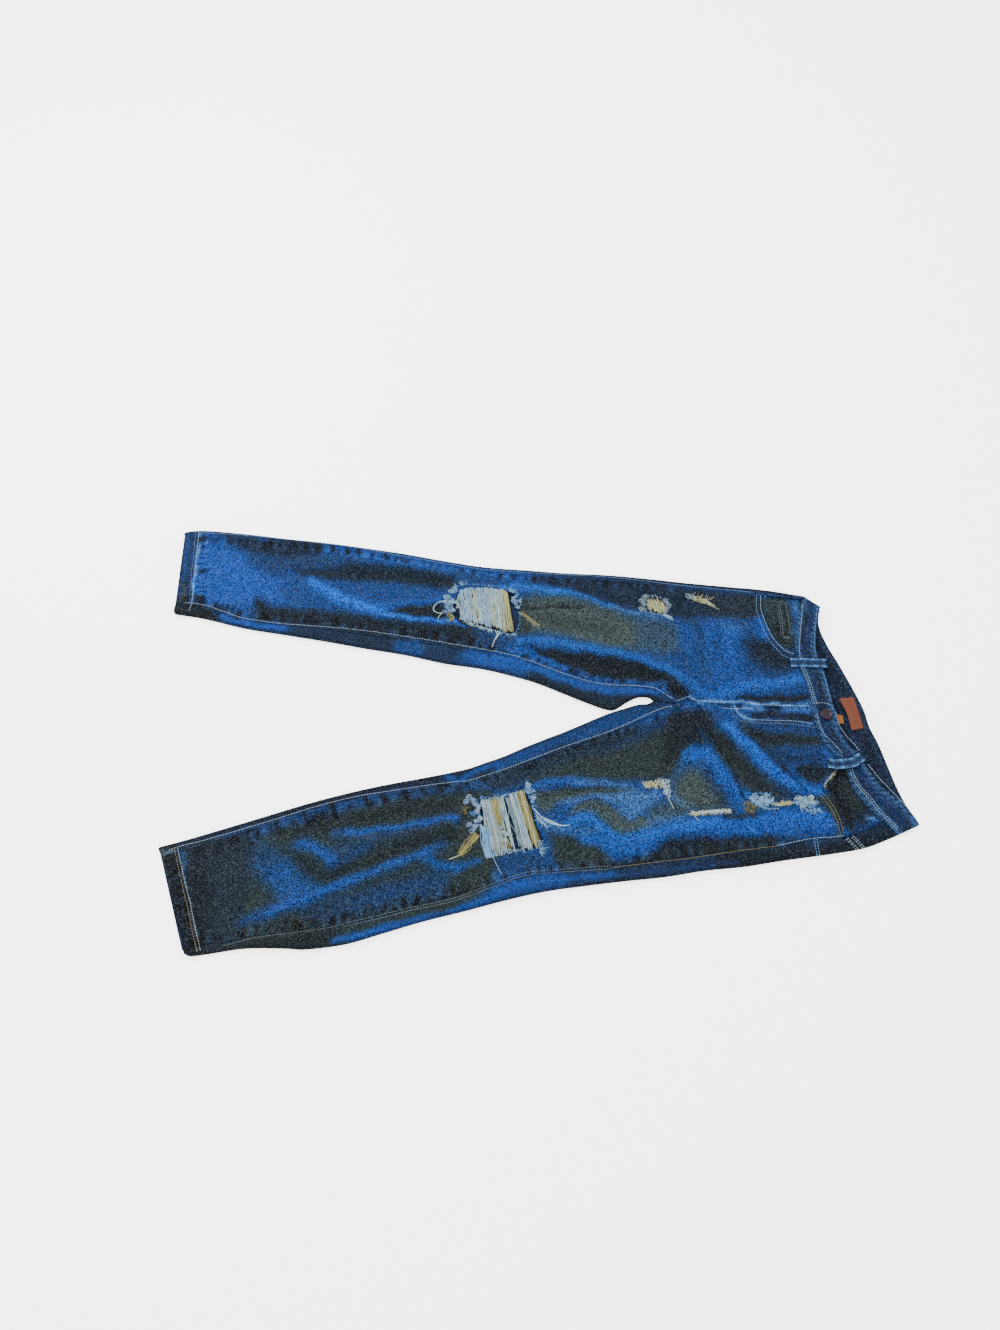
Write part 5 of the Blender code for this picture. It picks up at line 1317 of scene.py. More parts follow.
@dataclass(frozen=True)
class Plain:
    """A finish of one colour with fine uneven spots: moulded, pressed, woven tape or cast metal."""

    name: str
    colour: str
    roughness: float
    metallic: float = 0.0
    spot: float = 0.12
    grain: float = 900.0
    dent: float = 0.2
    gain: float = 0.42

    def material(self) -> Finish:
        """Build the material.

        Returns:
            The material.
        """
        material, nodes, links, shader = blank(self.name)
        shader.inputs["Roughness"].default_value = self.roughness
        shader.inputs["Metallic"].default_value = self.metallic
        where = add(nodes, "ShaderNodeTexCoord")
        noise = add(nodes, "ShaderNodeTexNoise", links, {"Vector": where.outputs["Object"]},
                    Scale=self.grain, Detail=3.0)
        shade = add(nodes, "ShaderNodeMapRange", links, {"Value": noise.outputs["Fac"]},
                    **span(0.3, 0.7, 1.0 - self.spot, 1.0 + self.spot))
        tone = add(nodes, "ShaderNodeVectorMath", links, {0: tuple(self.gain * linear(self.colour))},
                   operation="SCALE")
        links.new(shade.outputs[0], tone.inputs["Scale"])
        links.new(tone.outputs[0], shader.inputs["Base Color"])
        bump = add(nodes, "ShaderNodeBump", links, {"Height": noise.outputs["Fac"]},
                   Strength=self.dent, Distance=0.0003)
        links.new(bump.outputs[0], shader.inputs["Normal"])
        return material


def blank(name: str) -> tuple:
    """A new material with its node lists and its shader.

    Args:
        name: name of the material.

    Returns:
        The material, its nodes, its links and its shader.
    """
    material = bpy.data.materials.new(name)
    material.use_nodes = True
    tree = material.node_tree
    return material, tree.nodes, tree.links, tree.nodes["Principled BSDF"]


def span(low: float, high: float, start: float, end: float) -> dict[str, float]:
    """Settings of a map range node, from one span to another."""
    return {"From Min": low, "From Max": high, "To Min": start, "To Max": end}


def add(nodes: bpy.types.Nodes, kind: str, links: bpy.types.NodeLinks | None = None,
        sources: dict | None = None, **settings: object) -> bpy.types.Node:
    """Add a node, set its sockets and settings, and link what feeds it.

    Args:
        nodes: the material's nodes.
        kind: the node's type.
        links: the material's links.
        sources: sockets or values, by the input that they feed.
        settings: values of its inputs or of its own settings.

    Returns:
        The node.
    """
    node = nodes.new(kind)
    for key, value in settings.items():
        if key in node.inputs:
            node.inputs[key].default_value = value
        else:
            setattr(node, key, value)
    for key, source in (sources or {}).items():
        if isinstance(source, bpy.types.NodeSocket):
            links.new(source, node.inputs[key])
        else:
            node.inputs[key].default_value = source
    return node


# From a tone as seen to its albedo: gain, the level that its contrast turns about, and the strength of
# its contrast and of its colour
ALBEDO_GAIN = 0.215
ALBEDO_PIVOT = 0.08
ALBEDO_CONTRAST = 0.6
ALBEDO_DEPTH = 0.22


class WashChart:
    """The charted washes of the cloth and its painted highlights and shade, as linear colours at plan points.
    """

    # Strength and half width of a trough's painted shade stroke, how much painted shade darkens a pucker's
    # trough, and how much wear and painted highlight lighten its crest
    PUCKER_SHADE_STROKE = (0.8, 3.2)
    PUCKER_PAINTED_SHADE = 0.45
    PUCKER_WEAR_AND_HIGHLIGHT = 0.28

    def __init__(self) -> None:
        """Chart every place in the order that it is laid."""
        self.places = [Wash(*field, filled=True) for field in FIELDS]
        self.places += [Wash(*stroke) for stroke in STROKES]
        self.places += [Wash(Tone.INK, *self.PUCKER_SHADE_STROKE, line) for line in PUCKER_SHADE_LINES]

    def colours(self, plan: Array, pucker: Array | None = None) -> Array:
        """Colours at plan points as seen from above, painted highlights and shade included.

        Args:
            plan: plan points, metres.
            pucker: depth of the seam puckers, -1 to 1, or None.

        Returns:
            Linear colours.
        """
        flat = wander(plan).reshape(-1, 2)
        colour = np.tile(srgb(Tone.INDIGO.value), (len(flat), 1))
        for wash in self.places:
            wash.lay(flat, colour)
        # Painted shade in the puckers' troughs; on their crests a paler tone for wear and painted highlight
        if pucker is not None:
            share = np.clip(pucker.reshape(-1, 1), -1.0, 1.0)
            colour = colour * (1.0 - self.PUCKER_PAINTED_SHADE * smooth_step(share, 0.15, 0.9))
            crest = self.PUCKER_WEAR_AND_HIGHLIGHT * smooth_step(-share, 0.05, 0.8)
            colour = colour * (1.0 - crest) + srgb(Tone.PALE.value) * crest
        return grade(linear(colour)).reshape(plan.shape[:-1] + (3,))

    @staticmethod
    def plain(plan: Array) -> Array:
        """Colours of a hidden side, painted shade: dark cloth, a little uneven across it.

        Args:
            plan: plan points, metres.

        Returns:
            Linear colours.
        """
        x, y = plan[..., 0], plan[..., 1]
        share = (0.5 + 0.3 * np.sin(34 * x + 21 * y) + 0.2 * np.sin(71 * y - 47 * x + 1.0))[..., None]
        return grade(linear(srgb(Tone.NAVY.value) * (1.0 - share) + srgb(Tone.DUSK.value) * share))


def grade(colour: Array) -> Array:
    """Bring a tone as seen to the albedo that shows so under the bright studio light."""
    seen = (colour @ np.array([0.2126, 0.7152, 0.0722]))[..., None]
    return ALBEDO_GAIN * colour * (seen / ALBEDO_PIVOT) ** ALBEDO_CONTRAST * (colour / seen) ** ALBEDO_DEPTH


@dataclass
class FrontPanel:
    """Front of a leg and hip, cut away at the pocket mouth, torn at the knee, its hem turned up."""

    cloth: Cloth
    chart: WashChart
    finish: Finish
    pocket: Points
    rip: Points
    steps: int = 6
    columns: int = 54
    turned: float = 2.0

    def build(self) -> Piece:
        """Build the panel.

        Returns:
            The piece.
        """
        half = self.cloth.half
        row = np.linspace(0.0, WAIST_ROW - 0.015, self.steps * WAIST_ROW + 1)[:, None]
        plan = half.rounded(front_plan(half, row, np.linspace(0.0, 1.0, self.columns + 1)[None, :]))
        grid = self.cloth.lifted(plan)
        rip = read_points(self.rip)
        mouth, tear = PlanLine(self.pocket), PlanLine(rip + rip[:1])
        corner = self.corner(mouth)
        middle = (plan[:-1, :-1] + plan[1:, 1:]).reshape(-1, 2) / 2
        keep = ~(inside(middle, corner) | inside(middle, tear.points))
        colours = self.chart.colours(plan, pucker=self.cloth.puckers(plan)[0])
        thick = 0.5 + 0.5 * (row < HEM_DEPTH_ROWS)
        return Fabric.sheet(f"front_cloth_{half.name}", grid, self.turned * CLOTH, self.finish, colours,
                            outward=-half.side, keep=keep.reshape(len(row) - 1, -1),
                            snap=lambda points, cut: self.snap(points, cut, mouth, tear),
                            thin=np.broadcast_to(thick, plan.shape[:2]))

    def corner(self, mouth: PlanLine) -> Array:
        """Outline of what the pocket mouth cuts off: its edge and three points outside the cloth.

        Args:
            mouth: edge of the pocket mouth.

        Returns:
            Plan points.
        """
        edge = mouth.at(np.linspace(0.0, 1.0, 40))
        outside = edge[0, 1] + self.cloth.half.side * POCKET_CLEAR * MM
        clear = edge[-1, 0] + POCKET_CLEAR * MM
        return np.vstack([edge, [(clear, edge[-1, 1]), (clear, outside), (edge[0, 0], outside)]])

    def snap(self, points: Array, cut: Array, mouth: PlanLine, tear: PlanLine) -> Array:
        """Move the points of cut edges onto the outlines, so that they are as smooth as those.

        Args:
            points: points of the panel.
            cut: which of them are on an edge.
            mouth: edge of the pocket mouth.
            tear: edge of the knee rip.

        Returns:
            The points, moved.
        """
        spots = points[cut, :2]
        gaps = [line.nearest(spots) for line in (mouth, tear)]
        targets = [line.at(gap[1] / line.length) for line, gap in zip((mouth, tear), gaps)]
        nearer = (gaps[0][0] < gaps[1][0])[:, None]
        spots = np.where(nearer, targets[0], targets[1])
        points[cut] = self.cloth.lifted(spots)
        return points


@dataclass
class BackPanel:
    """Back of a leg and seat with its yoke; it wraps up round both folds to the seams on top."""

    cloth: Cloth
    chart: WashChart
    finish: Finish
    steps: int = 6
    # Share of its colour that the cloth keeps at a fold, as painted shade
    shade: float = 0.30
    outer_columns: int = 16
    under_columns: int = 22

    def build(self) -> list[Piece]:
        """Build the leg's back and the yoke.

        Returns:
            The two pieces.
        """
        half = self.cloth.half
        leg = np.concatenate([np.linspace(0.0, CROTCH_ROW, self.steps * CROTCH_ROW + 1),
                              np.linspace(CROTCH_ROW + 0.2, SEAT_ROW, 10),
                              np.linspace(SEAT_ROW + 0.25, YOKE_ROW - 0.01, 24)])
        yoke = np.linspace(YOKE_ROW + 0.01, WAIST_ROW - 0.002, 16)
        return [self.sheet(f"back_cloth_{half.name}", leg), self.sheet(f"yoke_cloth_{half.name}", yoke)]

    def sheet(self, name: str, rows: Array) -> Piece:
        """One piece of the back through some rows.

        Args:
            name: name of the piece.
            rows: stations along the leg, counted from the hem.

        Returns:
            The piece.
        """
        half = self.cloth.half
        grid = back_grid(half, self.cloth, rows, self.outer_columns, self.under_columns)
        grid[..., :2] = half.rounded(grid[..., :2])
        plan = grid[..., :2]
        seen = self.chart.colours(plan, pucker=self.cloth.puckers(plan)[0])
        edge = np.minimum(half.edge.nearest(plan)[0], half.inner_fold.nearest(plan)[0])
        # Painted shade at a fold: the cloth keeps this share of its colour there
        seen *= (self.shade + (1.0 - self.shade) * smooth_step(edge, 0.5 * MM, 6 * MM))[..., None]
        # Painted shade: the underside, also seen through the knee rips, takes the dark colours of a hidden
        # side
        under = (1.0 - smooth_step(grid[..., 2], 0.4 * ROLL_RADIUS, 1.3 * ROLL_RADIUS))[..., None]
        colours = seen * (1.0 - under) + self.chart.plain(plan) * under
        thick = 0.5 + 0.5 * (np.asarray(rows) < HEM_DEPTH_ROWS)[:, None]
        return Fabric.sheet(name, grid, 2 * CLOTH, self.finish, colours, outward=half.side,
                            thin=np.broadcast_to(thick, plan.shape[:2]))


@dataclass
class Waistband:
    """The folded strip round the waist, open at the centre front, roped along both edges, the rope paler on
    its crests and darker in its dips from wear and painted highlight and shade.
    """

    cloths: tuple[Cloth, Cloth]
    chart: WashChart
    finish: Finish
    rows: int = 14
    steps: int = 64
    wall: float = 0.0026
    roped: tuple[float, float] = (0.13, 0.87)
    roped_width: float = 0.13
    rope: float = 0.35 * MM
    spacing: float = 8 * MM

    def build(self) -> Piece:
        """Build the waistband.

        Returns:
            The piece.
        """
        shares = np.linspace(0.0, 1.0, self.rows + 1)
        grid = np.array([band_points(self.cloths, share, self.steps) for share in shares])
        along = np.linalg.norm(np.diff(grid[self.rows // 2, :, :2], axis=0), axis=1)
        run = np.concatenate([[0.0], np.cumsum(along)])[None, :]
        share = shares[:, None]
        edges = sum(np.exp(-((share - place) / self.roped_width) ** 2) for place in self.roped)
        wave = 0.5 + 0.5 * np.sin(2 * math.pi * (run / self.spacing + 1.1 * share) + 1.5 * np.sin(run * 60))
        grid[..., 2] += self.rope * wave * edges
        inner = np.zeros(grid.shape[1])
        inner[self.steps + 5:-self.steps - 6] = 1.0
        inner = inner[None, :, None]
        # The back part, seen inside the waist, is drawn darker. Along both edges run pale lines, paler on the
        # rope's crests and darker in its dips: wear with painted highlight and shade; the pale lines are
        # weaker on the back part.
        body = grade(linear(Tone.NAVY.value)) * (1.0 - 0.35 * inner)
        colours = self.chart.colours(grid[..., :2]) * (0.24 - 0.16 * inner) + body * (0.76 + 0.16 * inner)
        light = (0.62 * edges * (0.35 + 0.65 * wave))[..., None] * (1.0 - 0.75 * inner)
        dark = (0.5 * edges * (1.0 - wave))[..., None]
        colours = colours * (1.0 - light) + grade(linear(Tone.PALE.value)) * light
        colours = colours * (1.0 - dark) + grade(linear(Tone.INK.value)) * dark
        return Fabric.sheet("waistband_cloth", grid, self.wall, self.finish, colours)


@dataclass
class PocketInside:
    """A strip of cloth seen inside a front pocket's mouth, or the coin pocket on it."""

    name: str
    cloth: Cloth
    chart: WashChart
    finish: Finish
    low: Points
    high: Points
    drop: float
    gape: float = 0.0
    wall: float = CLOTH
    rows: int = 14
    columns: int = 36

    def build(self) -> Piece:
        """Build the strip.

        Returns:
            The piece.
        """
        grid = strip_grid(self.cloth, self.low, self.high, self.rows, self.columns,
                          lambda share: self.drop + self.gape * (1.0 - smooth_step(share, 0.25, 0.85)))
        colours = self.chart.colours(grid[..., :2])
        return Fabric.sheet(self.name, grid, self.wall, self.finish, colours, outward=-1)


@dataclass
class BeltLoop:
    """A belt loop: a folded strip, crowned, with rolled edges, tacked down at both ends."""

    name: str
    cloth: Cloth
    finish: Finish
    line: Points
    rise: float
    arch: float
    width: float = 0.0125
    wall: float = 0.0016
    crown: float = 0.5 * MM
    rows: int = 28
    columns: int = 8

    def points(self, across: float) -> Array:
        """Points along the loop at a place across it, -1 to 1.

        Args:
            across: place across the loop.

        Returns:
            Points in space.
        """
        route = PlanLine(self.line)
        share = np.linspace(0.0, 1.0, self.rows + 1)
        plan = route.offset(across * self.width / 2, share)
        height = self.cloth.height(route.at(share)) + self.rise + self.arch * np.sin(math.pi * share) ** 2
        return np.column_stack([plan, height + self.crown * (1.0 - across ** 2) - self.crown / 2])

    def build(self) -> Piece:
        """Build the loop.

        Returns:
            The piece.
        """
        places = np.linspace(-1.0, 1.0, self.columns + 1)
        grid = np.array([self.points(place) for place in places]).transpose(1, 0, 2)
        middle = (1.0 - np.abs(places) ** 2)[None, :, None]
        knots = 0.5 + 0.5 * np.sin(np.linspace(0.0, 22.0, self.rows + 1))[:, None, None]
        edges = linear(Tone.SKY.value) * (1.0 - middle) * (0.6 + 0.4 * knots)
        colours = grade(linear(Tone.DUSK.value) * middle + edges)
        return Fabric.sheet(self.name, grid, self.wall, self.finish, colours)


@dataclass
class FlatPatch:
    """A flat piece of cloth under the seat, with rounded edges: a back pocket or a back belt loop."""

    name: str
    outline: np.ndarray
    finish: Finish
    tone: Tone = Tone.NAVY
    low: float = 0.1 * MM
    high: float = CLOTH
    round: float = 0.35 * MM

    def build(self) -> Piece:
        """Build the patch.

        Returns:
            The piece.
        """
        bm = bmesh.new()
        verts = [bm.verts.new((x, y, self.low)) for x, y in self.outline]
        face = bm.faces.new(verts)
        grown = bmesh.ops.extrude_face_region(bm, geom=[face])
        moved = [item for item in grown["geom"] if isinstance(item, bmesh.types.BMVert)]
        bmesh.ops.translate(bm, verts=moved, vec=(0.0, 0.0, self.high - self.low))
        bmesh.ops.bevel(bm, geom=bm.edges[:], offset=self.round, segments=2, profile=0.5, affect="EDGES",
                        material=-1)
        bmesh.ops.recalc_face_normals(bm, faces=bm.faces[:])
        mesh = bpy.data.meshes.new(self.name)
        bm.to_mesh(mesh)
        bm.free()
        paint(mesh, np.tile(grade(linear(self.tone.value)), (len(mesh.vertices), 1)))
        return place(self.name, mesh, self.finish)


# Across and up from the button's middle to its rim and back below it, as shares of its radius and depth
BUTTON_PROFILE = ("0,0.80 0.16,0.80 0.26,0.88 0.36,0.80 0.50,0.72 0.66,0.74 0.74,0.94 0.84,1 0.93,0.90 "
                  "1,0.60 0.97,0.34 0.86,0.20 0.50,0.05 0,0")


@dataclass
class Button:
    """Domed shank button with a rim and a raised ring, its face bare."""

    finish: Finish
    plan: Point
    height: float
    radius: float = 0.0080
    depth: float = 0.0035
    steps: int = 56

    def build(self) -> Piece:
        """Turn the button's profile about its axis.

        Returns:
            The piece.
        """
        bm = bmesh.new()
        verts = [bm.verts.new((across * self.radius, 0.0, up * self.depth))
                 for across, up in read_points(BUTTON_PROFILE)]
        edges = [bm.edges.new(pair) for pair in zip(verts, verts[1:])]
        bmesh.ops.spin(bm, geom=verts + edges, cent=(0, 0, 0), axis=(0, 0, 1), angle=2 * math.pi,
                       steps=self.steps, use_merge=True)
        bmesh.ops.remove_doubles(bm, verts=bm.verts[:], dist=0.01 * MM)
        bmesh.ops.recalc_face_normals(bm, faces=bm.faces[:])
        bmesh.ops.translate(bm, verts=bm.verts[:], vec=(*self.plan, self.height))
        mesh = bpy.data.meshes.new("shank_button")
        bm.to_mesh(mesh)
        bm.free()
        mesh.shade_smooth()
        return place("shank_button", mesh, self.finish)


@dataclass
class InsidePatch:
    """A bare patch sewn to the inner face of the back waistband, its free edge curling up."""

    name: str
    finish: Finish
    front: Points
    back: Points
    rest: float
    curl: float
    wall: float = 0.8 * MM
    rows: int = 16
    columns: int = 20

    def build(self) -> Piece:
        """Build the patch.

        Returns:
            The piece.
        """
        share = np.linspace(0.0, 1.0, self.rows + 1)[:, None, None]
        across = np.linspace(0.0, 1.0, self.columns + 1)
        plan = PlanLine(self.front).at(across) * (1.0 - share) + PlanLine(self.back).at(across) * share
        wave = 0.25 * MM * np.sin(9 * across + 2.0) * (1.0 - share[..., 0])
        height = self.rest + self.curl * (1.0 - smooth_step(share[..., 0], 0.0, 0.7)) + wave
        grid = np.concatenate([plan, np.broadcast_to(height, plan.shape[:2])[..., None]], axis=-1)
        colours = np.ones_like(grid)
        return Fabric.sheet(self.name, grid, self.wall, self.finish, colours, outward=-1)


@dataclass(frozen=True)
class Run:
    """One run of stitches: the half it lies on, its line in plan, thread, rows and their spacing, mm."""

    half: str
    points: Points
    tone: str = "light"
    rows: int = 1
    apart: float = 0.0
    rise: float = 0.0
    pitch: float = 3.4


# Share of a thread's tone as seen that is its albedo under the bright studio light, torn and sewn
THREAD_GAIN = 0.55
STITCH_GAIN = 0.85
STITCH_TONES = {"light": "#9fb2c4", "blue": "#6f97c8", "tan": "#8f7f5c", "dull": "#68727a"}
RUNS = [
    Run("right", "-484,182 -455,177 -420,164 -400,157 -370,152 -340,148 -300,145 -250,140 -200,133 -150,125 "
        "-100,116 -60,108.5 -30,102 0,92 40,75 80,61 110,55.5 140,54 168,51 183,42 194,34"),
    Run("right", "-476,298 -410,293 -350,286.5 -300,280 -260,274.5 -230,268.5 -150,252 -100,242 -60,235.5 "
        "0,230.5 50,227 100,224.5 150,219 200,212 250,206 320,198", "blue"),
    Run("right", "-480,300 -478,260 -477,225 -474,188 -477,168"),
    Run("right", "-484,300 -482,260 -481,225 -479,188", "dull"),
    Run("right", "329,193 326.5,172 330,149 338.5,123 352,105 364,99"),
    Run("right", "323,193 320.5,172 324,147 332.5,119.5 347,99 358,93", "blue"),
    Run("right", "197,31 214,36 222,32 240,30 262,30.5 285,29.5 300,27 325,24 350,23 375,22.5"),
    Run("left", "276,24 278,15 284,8 296,3.5 320,2 350,1 377,-3"),
    Run("left", "270,23 272,12 279,3.5 292,-1.5 320,-3 352,-4.5 379,-9", "dull"),
    Run("left", "258,21 272,20 300,20"),
    Run("left", "-458,-173 -440,-167 -420,-162 -400,-156 -370,-146.5 -340,-137 -310,-127 -280,-117 "
        "-250,-108.5 -220,-101.5 -200,-98 -160,-91.5 -120,-85.5 -80,-80.5 -60,-74 -40,-67.5 -20,-60 0,-52 "
        "40,-36 80,-21.5 110,-10.5 140,3 160,13 180,21.5 192,24"),
    Run("left", "-375,-291 -340,-281.5 -300,-276 -260,-271 -230,-265", "dull"),
    Run("left", "-232,-266 -190,-256.5 -150,-246.5 -100,-236 -60,-221.5 -40,-214 -20,-206.5 0,-202 30,-199.5 "
        "100,-195", "dull", 2, 3.5),
    Run("left", "100,-195 150,-189 200,-183 250,-175.5 310,-168", "tan"),
    Run("left", "310,-168 330,-163.5 356,-158.5 380,-157 396,-155"),
    Run("left", "-447,-170 -440,-190 -430,-218 -420,-245 -410,-275 -402,-297"),
    Run("left", "-451,-171 -444,-191 -434,-219 -424,-246 -414,-276 -406,-298", "tan"),
    Run("left", "394,-153 389,-126.5 381,-110 374,-100", "tan", 2, 4.5),
    Run("left", "408,-64.5 400,-66.5 391.5,-75 384,-84 379,-91"),
    Run("left", "399,-158 405,-165 412,-173", "light", 2, 2.6),
    Run("left", "406,-156 413,-163 420,-171", "light", 2, 2.6),
    Run("left", "359,-159 360,-170 361,-181", "blue", 2, 3.4),
    Run("right", "380,25.5 392,26.5 402,24.5 406.5,16", "light", rise=0.8),
    Run("right", "383,27 379.5,50 375.5,70 371.5,80", "light", 2, 3.2, rise=0.8),
    Run("right", "371,92 372,106 375,125 380,150 386,178", "light", 1, rise=0.8),
    Run("right", "404,30 402,50 399,74", "blue", rise=0.8),
    Run("right", "393.5,96 393,106 396,130 403,160 406,172", "blue", rise=0.8),
    Run("left", "383,12 384,2 385,-8 390,-20 398,-30 404,-38 409,-46", "light", rise=0.8),
    Run("left", "408,14 409.5,0 412,-10 420,-24 427,-34 432,-42", "light", rise=0.8),
    Run("left", "417,-60 418,-74 424,-90 434,-104 443,-119 453,-132 466,-146", "light", 2, 3.2, rise=0.8),
    Run("left", "440,-60 451,-78 463,-94 481,-117", "light", rise=0.8),
    Run("right", "340,183 360,182.5", "dull", rise=-0.4),
    Run("right", "352.5,181 352,150 351,127", "dull", 2, 3.0, rise=-0.1),
    Run("right", "362.5,181 363,150 364,127", "dull", rise=-0.9),
    Run("right", "352,125 362,125", "dull", 3, 1.6, rise=-0.1),
    Run("left", "420,-64 419,-84 430,-104 437,-118", "tan", rise=-1.0),
]


@dataclass
class Stitching:
    """Topstitching: short tight threads that dip into the cloth at both ends."""

    # Along a stitch: shares of its length, of its height over the cloth and of its radius
    ALONG = np.array([0.0, 0.2, 0.5, 0.8, 1.0])
    LIFT = np.array([-2.2, 0.6, 1.0, 0.6, -2.2])
    TAPER = np.array([0.6, 1.0, 1.0, 1.0, 0.6])

    cloths: dict[str, Cloth]
    finish: Finish
    radius: float = 0.34 * MM
    gap: float = 0.22
    proud: float = 0.16 * MM

    def build(self, name: str, runs: list[Run]) -> Piece:
        """Build some runs of stitches as one mesh.

        Args:
            name: name of the piece.
            runs: the runs.

        Returns:
            The piece.
        """
        strands = []
        for run in runs:
            cloth = self.cloths[run.half]
            line = PlanLine(run.points)
            count = max(int(line.length / (run.pitch * MM)), 1)
            for row in range(run.rows):
                beside = (row - (run.rows - 1) / 2) * run.apart * MM
                share = (np.arange(count)[:, None] + self.ALONG * (1.0 - self.gap)) / count
                plan = line.offset(beside, share)
                height = cloth.height(plan) + run.rise * MM
                height = height + self.proud * self.LIFT
                path = np.concatenate([plan, height[..., None]], axis=-1)
                colour = STITCH_GAIN * linear(STITCH_TONES[run.tone])
                radii = self.radius * self.TAPER
                for index, stitch in enumerate(path):
                    shade = 0.85 + 0.3 * ((index * 37 % 11) / 10)
                    strands.append((stitch, radii, colour * shade))
        return Fabric.threads(name, strands, self.finish)


class Tangle:
    """Loose and torn threads over one half, gathered and then built as one mesh."""

    def __init__(self, cloth: Cloth, seed: int) -> None:
        """Start with no threads.

        Args:
            cloth: the upper layer of one half.
            seed: seed of the random draws.
        """
        self.cloth = cloth
        self.random = np.random.default_rng(seed)
        self.paths = []

    def add(self, plan: Array, rise: Array | float, radius: Array | float, tone: str) -> None:
        """Keep one thread: its plan in metres, its height over the cloth, radius in metres and tone.

        Args:
            plan: plan points, metres.
            rise: height over the cloth, metres.
            radius: radius of the thread, metres.
            tone: name of its tone.
        """
        count = len(plan)
        colour = THREAD_GAIN * linear(THREAD_TONES[tone]) * self.random.uniform(0.8, 1.12)
        self.paths.append((plan, np.broadcast_to(rise, (count,)), radius, colour))

    def wave(self, count: int, amount: float, turns: int) -> Array:
        """Smooth random sideways shift along a thread, none at its ends.

        Args:
            count: how many points.
            amount: size of the shift.
            turns: how many waves are added.

        Returns:
            The shift at each point.
        """
        share = np.linspace(0.0, 1.0, count)
        shift = sum(self.random.normal() * np.sin(math.pi * (turn + 1) * share + self.random.uniform(0, 6))
                    for turn in range(turns))
        return shift * amount * np.sin(math.pi * np.clip(share, 0.02, 0.98))

    def bundle(self, start: Points, end: Points, tone: str, count: int, radius: float = 0.42,
               wander: float = 0.6, rise: Span = (-0.6, 0.8), slack: float = 0.8, steps: int = 14,
               straight: bool = False, ragged: float = 0.0) -> None:
        """Threads from one plan line to another, side by side; millimetres.

        Args:
            start: line that the threads start from.
            end: line that they run to.
            tone: name of the threads' tone.
            count: how many threads.
            radius: radius of a thread, millimetres.
            wander: how far a thread strays sideways.
            rise: height over the cloth, lowest and highest, millimetres.
            slack: how far its middle hangs.
            steps: points of a thread.
            straight: whether the threads keep their order.
            ragged: share of a thread by which its ends may fall short.
        """
        start, end = PlanLine(start), PlanLine(end)
        for index in range(count):
            share = (index + self.random.uniform(0.1, 0.9)) / count
            low = start.at(share) + self.random.normal(0, 0.7, 2) * MM
            high = end.at(np.clip(share + self.random.normal(0, 0.0 if straight else 0.04), 0, 1))
            high = high + self.random.normal(0, 0.9, 2) * MM
            cuts = self.random.uniform(0.0, ragged + 1e-9, 2)
            low, high = low + (high - low) * cuts[0], high + (low - high) * cuts[1]
            along = high - low
            square = np.array([-along[1], along[0]]) / np.linalg.norm(along)
            part = np.linspace(0.0, 1.0, steps)[:, None]
            plan = low + along * part + square * self.wave(steps, wander * MM, 3)[:, None]
            level = self.random.uniform(*rise) - slack * np.sin(math.pi * part[:, 0])
            self.add(plan, level * MM, radius * MM * self.random.uniform(0.8, 1.2), tone)

    def band(self, start: Points, end: Points, tone: str, count: int, **looks: float | Span) -> None:
        """A bundle of threads that keep their order, side by side."""
        self.bundle(start, end, tone, count, straight=True, **looks)

    def tuft(self, start: Points, end: Points, tone: str, count: int, **looks: float | Span) -> None:
        """A bundle of threads that stand up over a small rip."""
        self.bundle(start, end, tone, count, **{"rise": (0.1, 0.8), "slack": -0.2, **looks})

    def curls(self, centres: Points, tone: str, size: float, each: int = 3, radius: float = 0.34,
              rise: Span = (0.3, 1.5)) -> None:
        """Loose loops of thread around plan points; millimetres.

        Args:
            centres: where the loops lie.
            tone: name of the threads' tone.
            size: reach of the largest loop.
            each: loops at each place.
            radius: radius of a thread, millimetres.
            rise: height over the cloth, lowest and highest, millimetres.
        """
        for centre in read_points(centres):
            for _ in range(each):
                turns = self.random.uniform(0.8, 1.7)
                steps = 16
                angle = self.random.uniform(0, 6.28) + np.linspace(0.0, 2 * math.pi * turns, steps)
                reach = size * self.random.uniform(0.4, 1.0) * (0.7 + 0.3 * np.sin(angle * 0.7))
                stretch = self.random.uniform(0.5, 1.0)
                plan = np.column_stack([np.cos(angle) * reach, np.sin(angle) * reach * stretch])
                plan = np.array(centre) + self.random.normal(0, 0.35 * size, 2) + plan
                level = self.random.uniform(*rise) + 0.3 * np.sin(angle)
                self.add(plan * MM, level * MM, radius * MM, tone)

    def fringe(self, line: Points, towards: Point, tone: str, count: int, length: float,
               radius: float = 0.32, curl: float = 0.5, rise: Span = (0.1, 0.9)) -> None:
        """Frayed ends that stand out from a plan line in a direction; millimetres.

        Args:
            line: line that the ends stand on.
            towards: direction that they point in.
            tone: name of the threads' tone.
            count: how many threads.
            length: length of the longest one.
            radius: radius of a thread, millimetres.
            curl: how much they bend, radians.
            rise: height over the cloth, lowest and highest, millimetres.
        """
        line = PlanLine(line)
        towards = np.array(towards, float) / np.linalg.norm(towards)
        for _ in range(count):
            root = line.at(self.random.uniform(0, 1)) / MM
            steps = 8
            heading = math.atan2(towards[1], towards[0]) + self.random.normal(0, 0.35)
            bend = self.random.normal(0, curl) * np.linspace(0.0, 1.0, steps) * 2
            stride = length * self.random.uniform(0.35, 1.0) / steps
            step = np.column_stack([np.cos(heading + bend), np.sin(heading + bend)]) * stride
            plan = root + np.cumsum(step, axis=0) - step[0] * 1.5
            level = self.random.uniform(*rise) + 0.6 * np.linspace(0.0, 1.0, steps) ** 2
            self.add(plan * MM, level * MM, radius * MM * np.linspace(1.0, 0.6, steps), tone)

